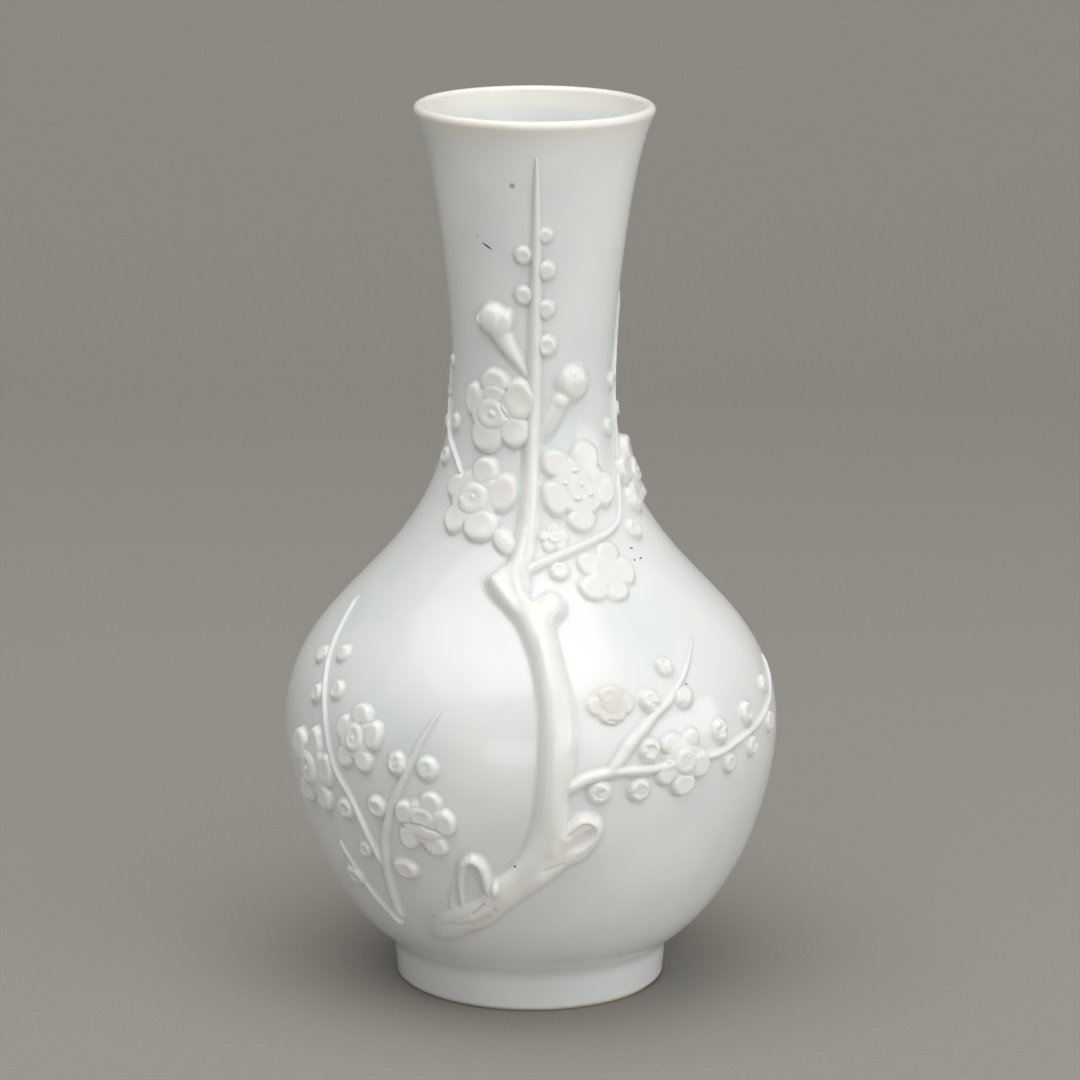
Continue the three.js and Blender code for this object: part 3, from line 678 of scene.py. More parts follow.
class Workshop:
    """What every sprig needs: the wall, the trees, the glaze and the sprigs laid before."""

    def __init__(self, context):
        scene = context.scene
        self.sprig = scene.vase_sprigs
        self.wall = Wall(scene.vase_form)
        self.body = bpy.data.objects["thrown_body"]
        self.laid = bpy.data.collections.get(LAID)
        if self.laid is None:
            self.laid = bpy.data.collections.new(LAID)
            group = raise_group()
            for tree in (moulded_tree, twig_tree, bud_tree):
                tree(group)
        self.glaze = sprig_glaze(scene.vase_glaze, self.wall)

    def grow(self, source, tree, **values):
        """Grows a mesh off the wall over what was laid before."""
        sprig = self.sprig
        low, high = corners(source)
        for old in list(self.laid.objects):
            self.laid.objects.unlink(old)
        for old in bpy.context.scene.collection.objects:
            if old.name.endswith(SPRIG_MARK):
                old_low, old_high = corners(old)
                if (old_low < high + NEAR * MM).all() and (low - NEAR * MM < old_high).all():
                    self.laid.objects.link(old)
        return grown(source, bpy.data.node_groups[tree], {
            "Laid Before": self.laid, "Glaze Fillet": sprig.glaze_fillet * MM,
            "Tuck": sprig.tuck * MM, "Plug": sprig.plug * MM, "Glaze": self.glaze, **values,
        })

    def lay(self, name, meshes):
        """Makes the piece that stands for a node."""
        return piece(name + SPRIG_MARK, meshes, SPRIG_SLOT, name)

    def path(self, places):
        """A smooth path on the wall through places, with its half widths."""
        turns, levels, widths = np.array(places, float).T
        distances = self.wall.distance(levels)
        radii = self.wall.radius(distances)
        mean = radii.mean()
        knots = np.column_stack([np.radians(turns) * mean, distances])
        line, share_at = smooth_line(knots, PATH_STEP)
        angle, distance = line[:, 0] / mean, line[:, 1]
        foot, _ = self.wall.on(angle, distance)
        gaps = np.linalg.norm(np.diff(foot, axis=0), axis=1)
        run = np.r_[0, np.cumsum(gaps)] / gaps.sum()
        half = np.interp(run, share_at, widths) * self.sprig.twig_width / 2
        return foot, half, gaps.sum()

    def twig(self, places, relief, tip=0.5, knobs=0.15):
        """One rolled twig."""
        foot, half, length = self.path(places)
        edges = [(i, i + 1) for i in range(len(foot) - 1)]
        source = mesh_object("path", foot, edges, half=half * MM)
        return self.grow(source, "Rolled Twig", **{
            "Wall": self.body, "Steps": int(length / self.sprig.net_spacing / 1.3),
            "Relief": relief * MM, "Tip Relief": tip * MM, "Knobbliness": knobs * MM,
        })

    def buds(self, rows):
        """Buds from rows of turn, level, radius, dish, ring, lump, stretch and roll."""
        rows = np.array([row + BUD_PLAIN[len(row):] for row in rows], float)
        turn, level, size, dish, ring, lump, stretch, roll = rows.T
        foot, out = self.wall.on(np.radians(turn), self.wall.distance(level))
        source = mesh_object(
            "spots", foot, size=size * MM, dish=dish, ring=ring, lump=lump, stretch=stretch,
            roll=np.radians(roll), out=out,
        )
        return self.grow(source, "Pressed Buds", Wall=self.body, Relief=self.sprig.bud_relief)

    def moulded(self, net):
        return self.grow(net.made(self.sprig.tuck), "Moulded Sprig", Wall=self.body)


def smooth_line(knots, step):
    """Points about a step apart on a smooth line through knots, and the knots' shares of it."""
    ends = np.vstack([2 * knots[0] - knots[1], knots, 2 * knots[-1] - knots[-2]])
    pieces, counts = [], [0]
    for a, b, c, d in zip(ends, ends[1:], ends[2:], ends[3:]):
        count = max(2, int(np.hypot(*(c - b)) / step))
        t = np.linspace(0, 1, count, endpoint=False)[:, None]
        pieces.append(0.5 * (
            2 * b + (c - a) * t + (2 * a - 5 * b + 4 * c - d) * t**2
            + (3 * b - 3 * c + d - a) * t**3
        ))
        counts.append(counts[-1] + count)
    line = np.vstack([*pieces, knots[-1:]])
    run = np.r_[0, np.cumsum(np.hypot(*np.diff(line, axis=0).T))]
    return line, run[counts] / run[-1]


# Sculpted sprigs


# Faces of a net that are lifted less than this are left out
SKIRT_END = 0.004


class Net:
    """A net of points on the wall round a place, with how far each is lifted off it."""

    def __init__(self, wall, place, left, right, down, up, spacing):
        self.wall, self.place = wall, place
        across = np.arange(-left, right + spacing, spacing)
        along = np.arange(-down, up + spacing, spacing)
        self.x, self.y = np.meshgrid(across, along)
        self.start = wall.distance(place[1])
        distance = self.start + self.y
        angle = math.radians(place[0]) + self.x / wall.radius(distance)
        self.foot, _ = wall.on(angle, distance)
        self.lift = np.zeros_like(self.x)

    def spot(self, turn, level):
        """Where a place lies on the net."""
        distance = self.wall.distance(level)
        x = math.radians(turn - self.place[0]) * self.wall.radius(distance)
        return np.array([float(x), float(distance - self.start)])

    def spots(self, places):
        return np.array([self.spot(*place) for place in places])

    def melt(self, form, soft=0.5):
        """Adds a form, with glaze in the corner where it meets the others."""
        self.lift = melted(self.lift, form, soft)

    def pad(self, row, scale):
        """An oval pad at a place."""
        place, size, roll, height, soft = row
        return pad(self.x, self.y, self.spot(*place), size, roll, scale * height, soft)

    def ridge(self, rows, soft, scale=1.0, lean=0.0):
        """Melts in a ridge through rows of turn, level, width and height."""
        *places, widths, heights = np.array(rows, float).T
        knots = self.spots(zip(*places))
        self.melt(ridge(self.x, self.y, knots, widths, heights * scale, lean), soft)

    def made(self, tuck):
        """The raised part of the net as an object."""
        index = np.arange(self.x.size).reshape(self.x.shape)
        sides = [index[:-1, :-1], index[:-1, 1:], index[1:, 1:], index[1:, :-1]]
        quads = np.stack([side.ravel() for side in sides], 1)
        lift = self.lift.ravel()
        quads = quads[lift[quads].max(1) > SKIRT_END]
        used, quads = np.unique(quads, return_inverse=True)
        return mesh_object(
            "net", self.foot.reshape(-1, 3)[used], faces=quads.reshape(-1, 4).tolist(),
            lift=(lift[used] - tuck) * MM,
        )


def melted(a, b, soft):
    """The higher of two, rounded over where they are close."""
    soft = np.clip(MELT_SHARE * np.minimum(a, b), 0.001, soft)
    close = np.clip(soft - np.abs(a - b), 0, None) / soft
    return np.maximum(a, b) + close**2 * soft / 4


def spread(x, y, centre, size, roll):
    """Distance from a centre as a share of an oval's radius. Size is its length and width."""
    heel = math.radians(roll)
    dx, dy = x - centre[0], y - centre[1]
    u = (dx * math.cos(heel) + dy * math.sin(heel)) / (size[0] / 2)
    v = (dy * math.cos(heel) - dx * math.sin(heel)) / (size[1] / 2)
    return np.hypot(u, v), (size[0] + size[1]) / 4


def falling(gap, soft):
    """Falls from one to nothing round an edge. The limit keeps the power within range."""
    return 1 / (1 + np.exp(np.clip(gap / soft, -40, 40)))


def pad(x, y, centre, size, roll=0, height=1.0, soft=0.22, dish=0.0, crown=0.15, fall=2):
    """A low oval pad. Soft is how gradually its edge falls, crown how much its top does."""
    reach, radius = spread(x, y, centre, size, roll)
    swell = 1 - crown * np.clip(reach, 0, 1) ** fall
    rim = falling((reach - 1) * radius, soft)
    return height * rim * (swell - dish * np.exp(-((reach / 0.6) ** 4)))


def ring(x, y, centre, size, width, roll=0, height=1.0):
    """A raised ring. Size is the length and width of its middle line."""
    reach, radius = spread(x, y, centre, size, roll)
    return height * np.exp(-(((reach - 1) * radius / width) ** 2))


# How far from a line its form can reach, and the step along a form's outline
FAR = 7.0
OUTLINE_STEP = 1.2


def nearest(x, y, line):
    """Distance from each point to a line, the share along it, and which side it lies on."""
    (left, low), (right, high) = line.min(0) - FAR, line.max(0) + FAR
    window = (x > left) & (x < right) & (y > low) & (y < high)
    all_best, all_along, all_side = np.full(x.shape, FAR), np.zeros(x.shape), np.ones(x.shape)
    x, y = x[window], y[window]
    best = np.full(x.shape, np.inf)
    along, side = np.zeros(x.shape), np.ones(x.shape)
    run = np.r_[0, np.cumsum(np.hypot(*np.diff(line, axis=0).T))]
    for i, (a, b) in enumerate(zip(line[:-1], line[1:])):
        step = b - a
        t = np.clip(((x - a[0]) * step[0] + (y - a[1]) * step[1]) / (step @ step), 0, 1)
        dx, dy = x - a[0] - t * step[0], y - a[1] - t * step[1]
        gap = np.hypot(dx, dy)
        closer = gap < best
        best = np.where(closer, gap, best)
        along = np.where(closer, (run[i] + t * (run[i + 1] - run[i])) / run[-1], along)
        side = np.where(closer, np.sign(step[0] * dy - step[1] * dx), side)
    all_best[window], all_along[window], all_side[window] = best, along, side
    return all_best, all_along, all_side


def ridge(x, y, knots, widths, heights, lean=0.0, soft=0.3):
    """A ridge along a line. Lean moves its crest to the left of the line's way."""
    line, share_at = smooth_line(np.asarray(knots, float), PATH_STEP)
    gap, along, side = nearest(x, y, line)
    half = np.interp(along, share_at, widths) / 2
    height = np.interp(along, share_at, heights)
    across = side * gap / half
    crest = 1 - 0.3 * np.clip(np.abs(across - lean) / (1 + lean), 0, 1.2) ** 2
    return height * falling(gap - half, soft) * crest


def inside(x, y, line):
    """Whether each point lies within a closed line."""
    found = np.zeros(x.shape, bool)
    for (ax, ay), (bx, by) in zip(line, np.roll(line, -1, 0)):
        if ay != by:
            found ^= ((ay > y) != (by > y)) & (x < ax + (y - ay) * (bx - ax) / (by - ay))
    return found


def slab(x, y, outline, soft=0.28, rounding=2.7):
    """A form that fills an outline, rounded at its edge."""
    line, _ = smooth_line(np.vstack([outline, outline[:1]]), OUTLINE_STEP)
    gap, _, _ = nearest(x, y, line)
    depth = np.where(inside(x, y, line), gap, -gap)
    return falling(-depth, soft) * (1 - 0.45 * (1 - np.clip(depth / rounding, 0, 1)) ** 2)


def groove(x, y, knots, width, depth):
    """A cut along a line."""
    gap, _, _ = nearest(x, y, np.asarray(knots, float))
    return depth * np.exp(-((gap / width) ** 2))


def lumps(x, y, seed, scale, amount):
    """Slow unevenness, as fingers leave it."""
    random = np.random.default_rng(seed)
    total = np.zeros_like(x)
    for _ in range(6):
        way, phase = random.uniform(0, math.tau, 2)
        wave = scale * random.uniform(0.7, 1.6)
        total += np.sin((x * math.cos(way) + y * math.sin(way)) * math.tau / wave + phase)
    return amount * total / 6


# A net's place, and how far it reaches left, right, down and up from there
TRUNK_NET = ((-6, 0.9), 29, 26, 46, 66)
BACK_NET = ((184, 0.88), 16, 20, 42, 42)
HEAD_REACH = (10, 14, 16, 8)
# Across the trunk's net: how high the root stands, as a share, and how softly its edge falls
ROOT_RISE = ([-20, -15, -9, -4, 0, 8, 17], [0.05, 0.2, 0.48, 0.76, 0.92, 0.95, 0.84])
ROOT_EDGE = ([-20, -14, -7, -3], [1.3, 0.8, 0.4, 0.28])
# The stem above the root: its height, where it starts, over what it blends, and its right end
STEM_RISE, STEM_START, STEM_BLEND, STEM_RIGHT = 0.92, -16, 12, 6


def sculpt_trunk(shop):
    """The front trunk: it rises from a root at the lower left, past a hollow knot and a stub."""
    net = Net(shop.wall, *TRUNK_NET, shop.sprig.net_spacing)
    x, y, tall = net.x, net.y, shop.sprig.trunk_relief
    root = np.interp(x, *ROOT_RISE)
    upper = np.clip((y - STEM_START) / STEM_BLEND, 0, 1)
    height = root + (STEM_RISE - root) * upper * (x < STEM_RIGHT)
    net.melt(slab(x, y, net.spots(TRUNK_OUTLINE), np.interp(x, *ROOT_EDGE)) * height * tall)
    solid = net.lift > 0.5
    for line, width, depth in TRUNK_CRESTS:
        net.lift += groove(x, y, net.spots(line), width, depth) * np.clip(net.lift / tall, 0, 1)
    net.ridge(STUB_RIM, 0.5, tall)
    net.lift -= net.pad(STUB_HOLLOW, tall) * solid
    net.ridge(ARCH_RIM, 0.6, tall)
    net.melt(net.pad(ARCH_KNOB, tall), 0.4)
    net.ridge(ARCH_LEG, 0.5)
    for line, width, depth in TRUNK_CUTS:
        net.lift -= groove(x, y, net.spots(line), width, depth) * np.clip(net.lift - 0.2, 0, 1)
    net.lift *= 1 + lumps(x, y, 3, 9, 0.08)
    return net


# The outline of the trunk, from the shoot down its left side, round the root and up its right side
TRUNK_OUTLINE = [
    (-7.6, 1.585), (-10.9, 1.564), (-15.2, 1.538), (-17.3, 1.519), (-16, 1.496), (-12.4, 1.47),
    (-7.7, 1.437), (-4.3, 1.407), (-1.9, 1.364), (0.2, 1.313), (1.7, 1.24), (2.5, 1.171),
    (2.4, 1.104), (2.1, 1.02), (1.4, 0.904), (0.1, 0.807), (-1.8, 0.734), (-4.5, 0.673),
    (-8.2, 0.62), (-10.4, 0.566), (-12.3, 0.53), (-15.6, 0.504), (-18.4, 0.484), (-22, 0.457),
    (-26.2, 0.424), (-30.1, 0.372), (-33, 0.309), (-31.9, 0.264), (-28.4, 0.25), (-24.7, 0.266),
    (-21.2, 0.294), (-16.1, 0.347), (-13.4, 0.371), (-9, 0.424), (-5.3, 0.488), (-1.8, 0.54),
    (2.2, 0.589), (5.7, 0.643), (9.1, 0.692), (11.8, 0.71), (14, 0.748), (16.2, 0.81),
    (16.4, 0.852), (15.6, 0.88), (13.7, 0.903), (11.4, 0.902), (9.8, 0.889), (8.4, 0.857),
    (8.3, 0.917), (8.3, 0.974), (9, 1.027), (10, 1.103), (10, 1.169), (9.5, 1.23), (8.5, 1.284),
    (7.6, 1.34), (6.9, 1.386), (7.9, 1.412), (10.5, 1.43), (11.3, 1.454), (9.8, 1.477),
    (6.4, 1.491), (2.5, 1.475), (-0.1, 1.469), (-1.8, 1.493), (-2.2, 1.531), (-2, 1.577),
]
TRUNK_CRESTS = [
    ([(4.6, 0.78), (5.2, 0.95), (5.8, 1.1), (5.4, 1.22), (3.2, 1.33), (-0.4, 1.44), (-3.6, 1.5)],
     1.5, 0.4),
    ([(-15.2, 1.52), (-8, 1.45), (-2, 1.38)], 1.2, 0.25),
    ([(9.6, 1.458), (8, 1.44), (5, 1.42)], 1.4, 0.2), ([(-9.6, 0.492), (-20, 0.39)], 0.8, 0.35),
    ([(-22, 0.43), (-30, 0.33)], 1.6, 0.3), ([(2, 0.66), (-6, 0.56), (-10, 0.5)], 1.6, 0.3),
]
# Pads: place, size, roll, height as a share of the trunk's relief, and how softly the edge falls
STUB_HOLLOW = ((11.2, 0.812), (7, 2.6), 38, 0.28, 0.45)
ARCH_KNOB = ((-8.3, 0.588), (4, 1.9), 80, 0.96, 0.22)
BACK_KNOT = ((172, 0.74), (10, 6.4), 130, 0.9, 0.3)
BACK_HOLLOW = ((172, 0.74), (5.6, 2.8), 130, 0.5, 0.4)
# Ridges: turn, level, width and height. The rims' heights are shares of the trunk's relief.
STUB_RIM = [
    (7.2, 0.826, 1.6, 0.8), (8.9, 0.855, 2, 0.9), (11.1, 0.886, 2.2, 0.96),
    (13.2, 0.884, 2.2, 0.98), (14.7, 0.857, 2.2, 0.94), (14.7, 0.824, 2, 0.9),
    (13, 0.787, 2, 0.9), (10.8, 0.76, 2.4, 0.86),
]
ARCH_RIM = [
    (-17.5, 0.49, 1.3, 0.3), (-17.2, 0.578, 1.5, 0.42), (-16.6, 0.642, 1.7, 0.5),
    (-15.5, 0.688, 2, 0.58), (-13.6, 0.708, 2.4, 0.62), (-11.9, 0.693, 2.5, 0.64),
    (-10.9, 0.658, 2.4, 0.64), (-10.5, 0.612, 2.2, 0.64), (-10.2, 0.573, 2, 0.62),
    (-9.1, 0.545, 1.7, 0.56),
]
ARCH_LEG = [(-18.9, 0.6, 0.7, 0.2), (-19.8, 0.54, 1.1, 0.45), (-20.6, 0.47, 1.6, 0.7)]
BACK_STEM = [
    (196, 0.3, 3.4, 0.6), (184, 0.52, 7.4, 0.9), (178, 0.8, 7, 1), (180, 1.08, 6.6, 0.95),
    (184, 1.3, 6.6, 0.95), (181, 1.44, 4.4, 0.85),
]
TRUNK_CUTS = [
    ([(-11.3, 0.519), (-14.6, 0.463)], 0.3, 0.8), ([(-8.6, 0.51), (-13.2, 0.425)], 0.45, 0.45),
    ([(-14.6, 0.414), (-24.6, 0.367)], 0.7, 0.22), ([(3.2, 0.696), (7.4, 0.72)], 0.4, 0.24),
    ([(-26.1, 0.418), (-27, 0.372)], 0.22, 0.4), ([(0.2, 1.482), (1.6, 1.455)], 0.5, 0.4),
    ([(-10.6, 1.56), (-8, 1.5), (-4.4, 1.45)], 1.2, 0.28),
    ([(-14.5, 0.64), (-13.6, 0.56)], 1.1, 0.3),
]


def sculpt_back_trunk(shop):
    """The back trunk, plainer, with one knot."""
    net = Net(shop.wall, *BACK_NET, shop.sprig.net_spacing)
    x, y, tall = net.x, net.y, shop.sprig.trunk_relief * 0.86
    net.ridge(BACK_STEM, 0.5, tall, -0.3)
    net.melt(net.pad(BACK_KNOT, tall), 0.9)
    net.lift -= net.pad(BACK_HOLLOW, tall)
    net.lift *= 1 + lumps(x, y, 8, 11, 0.1)
    return net


# Blossoms: a place, the net's reach, petals, a raised centre, a knob, lumps and cracks.
# A petal, a centre or a lump is where it lies (right, up), its size (across, up) and its height.
# Heights are shares of the petal relief. A knob is its place and its width.
BLOSSOMS = {
    "blossom_neck_left": {
        "place": (-27.7, 1.928), "reach": 13, "centre": (0, -0.1, 8, 7.3, 1.04),
        "knob": (0.2, -0.1, 2.6),
        "petals": [
            (0, 7, 6.8, 6, 0.9), (-5.5, 2.4, 5.1, 7.3, 0.78), (-1.4, -5.1, 7.9, 7.5, 0.86),
            (5.3, -3.8, 6.9, 6.7, 0.94), (5.9, 3.5, 6.5, 9.2, 1.08), (0.3, 4.3, 6.2, 4.4, 0.95),
        ],
        "cracks": [[(3.2, 5.8), (2, 3.2), (1.7, 2.4), (2.4, 0.9), (3.4, -0.6)]],
    },
    "blossom_neck_base_left": {
        "place": (-34, 1.717), "reach": 13, "centre": (0, 0, 7.7, 7.8, 1.04), "knob": (0.1, 0.2, 2),
        "petals": [
            (1.4, 6.6, 6.1, 6.3, 0.92), (6.7, 1.9, 6.1, 8.3, 0.92), (3.4, -6, 7.9, 6.9, 0.95),
            (-3.8, -5.1, 6, 6.7, 0.8), (-5.5, 2, 6.3, 5.5, 0.76),
        ],
        "lumps": [(-2.6, -0.6, 2, 2.7, 1.2)],
    },
    "blossom_neck_right": {
        "place": (28.6, 1.751), "reach": 13, "centre": (-0.4, 0, 7.2, 7.5, 0.92),
        "knob": (0, 0.3, 2.2),
        "petals": [
            (-5, 5.5, 6, 6.1, 0.86), (2.3, 6.3, 7, 6.9, 0.86), (6, -1.4, 6.6, 7.4, 1),
            (-1.1, -7.7, 6.4, 5.1, 0.86), (-6.2, -2.2, 5.2, 7.6, 0.95),
        ],
        "lumps": [
            (-1, 3.8, 2.7, 1.5, 1.14), (-3.5, 1.2, 1.9, 1.3, 1.1), (-1.5, -2.7, 2.6, 1.7, 1.16),
            (1.9, -2.1, 2.4, 1.5, 1.1),
        ],
    },
    "blossom_neck_edge_right": {
        "place": (84, 1.75), "reach": 11, "centre": (0, 0, 6.6, 6.6, 1.4), "knob": (0, 0, 1.9),
        "petals": [
            (0.2, 5.2, 6.6, 6.4, 1.3), (4.9, 1.4, 6.6, 6.2, 1.25), (3.2, -4.6, 6.6, 6.2, 1.05),
            (-3.2, -4.6, 6.4, 6, 1), (-4.8, 1.4, 6.6, 6.2, 1.1),
        ],
    },
    "blossom_shoulder_right": {
        "place": (30.9, 1.534), "reach": 10.5, "centre": (0, 0, 7.6, 7.4, 0.66),
        "knob": (-0.7, 0.3, 1.4), "cup": 0.06,
        "petals": [
            (2, 4.4, 5.8, 5.2, 0.66), (-3.2, 2.2, 5.4, 5.6, 0.64), (-4.4, -3.5, 6.2, 6.2, 0.7),
            (0.9, -4.8, 5.8, 5.1, 0.66), (4.9, -0.4, 5.4, 6.4, 0.64),
        ],
        "cracks": [[(-1, -3.8), (-0.8, -6.6)]],
    },
    "blossom_below_shoulder": {
        "place": (19.7, 1.19), "reach": 8, "centre": (0.2, 0.5, 5.6, 4.6, 0.6),
        "knob": (0.4, 2, 1.6), "cup": 0.05,
        "petals": [
            (0.2, 2.4, 5.6, 4.6, 0.62), (-3.4, 0.4, 3.8, 4.2, 0.42), (-0.2, -1.8, 6, 3.6, 0.52),
            (3.1, 0.4, 4.2, 4.2, 0.4),
        ],
        "cracks": [[(-1.2, -3), (0.8, -3.3), (2.2, -3.5)]],
    },
    "blossom_right": {
        "place": (36.7, 1.041), "reach": 10, "centre": (0, 0, 6.4, 6.4, 1.02),
        "knob": (0.2, 0.9, 1.5),
        "petals": [
            (2.5, 4.7, 4.4, 3.8, 0.8), (-2.6, 4.1, 5.8, 4.6, 0.7), (-5, -2.1, 4.6, 4.9, 0.76),
            (-0.2, -5.3, 6.2, 4.8, 0.9), (4.2, -1.4, 5.6, 6.1, 0.96),
        ],
        "lumps": [(-4.4, 0.4, 1.5, 1.2, 0.9), (-1.5, 1.8, 1.4, 0.9, 1.2)],
    },
    "blossom_left": {
        "place": (-43.6, 1.077), "reach": 10.5, "centre": (0, 0.1, 5.8, 7.2, 1.04),
        "knob": (-0.2, 0, 1.7), "cup": 0.26,
        "petals": [
            (0.5, 5.3, 5.8, 4.6, 0.96), (5, 1.4, 4.6, 6, 0.96), (2.9, -4.5, 4.9, 4.8, 0.88),
            (-2.9, -4.8, 5.2, 4.7, 0.8), (-3.9, 1.3, 5, 5.6, 0.8),
        ],
    },
    "blossom_left_edge": {
        "place": (-60, 0.942), "reach": 11.5, "centre": (-0.4, 0, 7.6, 8.4, 1.1),
        "knob": (-0.4, 0.1, 2.2), "cup": 0.3,
        "petals": [
            (-5.4, 3.9, 7, 7.4, 1), (1.6, 6.1, 5.4, 7.2, 0.84), (6.3, 0.9, 4.9, 7.2, 0.8),
            (4.1, -5.8, 6.2, 6, 0.86), (-3.6, -5.9, 6.4, 5.6, 0.92),
        ],
    },
    "blossom_left_low": {
        "place": (-24.8, 0.843), "reach": 10, "centre": (-0.3, 1.5, 6.6, 5.4, 0.92),
        "knob": (-0.1, -0.9, 1.5),
        "petals": [
            (-4.5, 1.7, 4.8, 5.6, 0.88), (1.9, 5.2, 4.8, 4.4, 0.82), (5.2, 0.6, 4.4, 5.8, 1.02),
            (2.3, -5.4, 5.4, 4.9, 0.8), (-4.1, -4.1, 4.9, 5.6, 0.82),
        ],
        "lumps": [(0.7, -2.1, 7.6, 3.8, 0.94)],
        "cracks": [[(-6.2, -0.6), (-3.4, -0.3), (-0.4, -0.1), (1.4, -0.9), (3.2, -1.4), (4.8, -2)]],
    },
    "rosette": {
        "place": (10.6, 1.63), "reach": 5.6, "centre": (0, 0, 3.2, 3.2, 0.66), "knob": (0, 0, 1.1),
        "cup": 0.3,
        "petals": [
            (0, 1.9, 3, 2.8, 0.5), (1.8, 0.5, 2.8, 2.8, 0.5), (1.1, -1.6, 3, 2.8, 0.55),
            (-1.2, -1.6, 3, 2.8, 0.5), (-1.9, 0.5, 2.8, 2.8, 0.55),
        ],
    },
}


def even_blossom(place, radius, roll, seed):
    """A blossom of five like petals, none quite alike, as the hidden side may have."""
    random = np.random.default_rng(seed)
    petals = []
    for i in range(5):
        angle = math.radians(roll + 72 * i + random.uniform(-5, 5))
        far = radius * random.uniform(0.62, 0.68)
        size = radius * random.uniform(0.74, 0.84), radius * random.uniform(0.74, 0.84)
        centre = far * math.cos(angle), far * math.sin(angle)
        petals.append((*centre, *size, random.uniform(0.85, 1)))
    return {
        "place": place, "reach": radius * 1.4, "petals": petals,
        "centre": (0, 0, radius * 0.8, radius * 0.8, 1.06), "knob": (0, 0, radius * 0.22),
    }


BLOSSOMS |= {
    "back_blossom_neck": even_blossom((153, 1.76), 8.2, 80, 21),
    "back_blossom_shoulder": even_blossom((206, 1.68), 7.7, 60, 22),
    "back_blossom_left": even_blossom((150, 0.93), 6.6, 90, 23),
    "back_blossom_right": even_blossom((203, 1.13), 6.6, 75, 24),
}


# How gradually a petal's edge falls, how much wider it is than listed, the finer net's spacing
PETAL_EDGE = 0.18
PETAL_SPREAD = 1.05
FINER = 0.85


def sculpt_blossom(shop, row, seed):
    """Petals that overlap, on one flat base, round a raised centre with a knob in it."""
    net = Net(shop.wall, row["place"], *[row["reach"]] * 4, shop.sprig.net_spacing * FINER)
    x, y, tall = net.x, net.y, shop.sprig.petal_relief
    wave = lumps(x, y, seed + 40, 5, 0.3), lumps(x, y, seed + 60, 5, 0.3)
    x, y = x + wave[0], y + wave[1]
    random = np.random.default_rng(seed)
    far, high = np.mean([(math.hypot(*petal[:2]), petal[4]) for petal in row["petals"]], 0)
    net.melt(pad(x, y, (0, 0), (1.95 * far, 1.95 * far), 0, 0.86 * high * tall, 0.3, crown=0))
    for *centre, across, up, height in row["petals"]:
        out = (x - centre[0]) * centre[0] + (y - centre[1]) * centre[1]
        tilt = 1 + random.uniform(0.01, 0.035) * out / max(math.hypot(*centre), 1)
        size = PETAL_SPREAD * across, PETAL_SPREAD * up
        form = pad(x, y, centre, size, 0, height * tall, PETAL_EDGE, dish=0.07, crown=0.24, fall=5)
        net.melt(form * np.clip(tilt, 0.8, 1.2), 0.16)
    *centre, across, up, height = row["centre"]
    form = pad(x, y, centre, (across, up), 0, tall * height, PETAL_EDGE, 0.06, 0.14, 5)
    net.melt(form, 0.16)
    cup = row.get("cup", 0.16)
    net.lift += ring(x, y, centre, (across * 0.58, up * 0.58), 0.5, 0, tall * cup * 0.4)
    *spot, width = row["knob"]
    net.melt(pad(x, y, spot, (width, width), 0, tall * (height + 0.08 + cup * 0.6), 0.26), 0.2)
    for *spot, across, up, height in row.get("lumps", ()):
        net.melt(pad(x, y, spot, (across, up), 0, tall * height, 0.2), 0.2)
    for line in row.get("cracks", ()):
        net.lift -= groove(net.x, net.y, line, 0.22, 0.6) * (net.lift > 0.3)
    net.lift *= 1 + lumps(x, y, seed, 6, 0.08)
    return net


def sculpt_head(shop, row):
    """A wrapped bud head on a stem, with its calyx."""
    net = Net(shop.wall, row["place"], *HEAD_REACH, shop.sprig.net_spacing)
    x, y = net.x, net.y
    net.melt(pad(x, y, (0, 0), row["size"], row["roll"], row["height"], 0.3, crown=0.3), 0.5)
    for line in row["folds"]:
        net.lift -= groove(x, y, line, 0.45, 0.2) * (net.lift > 0.5)
    for *centre, across, up, roll, height in row["wraps"]:
        net.melt(pad(x, y, centre, (across, up), roll, height, 0.26), 0.4)
    net.ridge(row["stem"], 0.6)
    return net


# Wrapped buds: a wrap is its place, size, roll and height, a stem's point its turn, level,
# width and height
HEADS = {
    "bud_spur_left": {
        "place": (-27.2, 2.248), "size": (6.8, 6.8), "roll": 30, "height": 2.6,
        "folds": [[(1.6, 2.6), (2.2, 0.8), (1.7, -1.6)]],
        "wraps": [(2.6, -0.8, 3.2, 6.2, -18, 2.2), (-3, -0.4, 2.4, 3.2, 10, 2.1)],
        "stem": [
            (-24.5, 2.223, 5.2, 2.2), (-19, 2.16, 3.8, 1.7), (-12, 2.1, 2.6, 1.2),
            (-4, 2.035, 1.4, 0.6),
        ],
    },
    "bud_spur_right": {
        "place": (29, 2.003), "size": (7.4, 7.2), "roll": 80, "height": 2.7,
        "folds": [[(-1.6, 2.4), (0.4, 0.8), (2.4, 1.6)]],
        "wraps": [(0.4, 0.6, 4.6, 4.2, 70, 2.9), (-3.1, -3.9, 3.6, 3.2, 40, 1.9)],
        "stem": [
            (25, 1.985, 3.8, 1.8), (18, 1.95, 3.6, 1.4), (12, 1.91, 3.8, 0.9), (7, 1.875, 3, 0.3),
        ],
    },
}


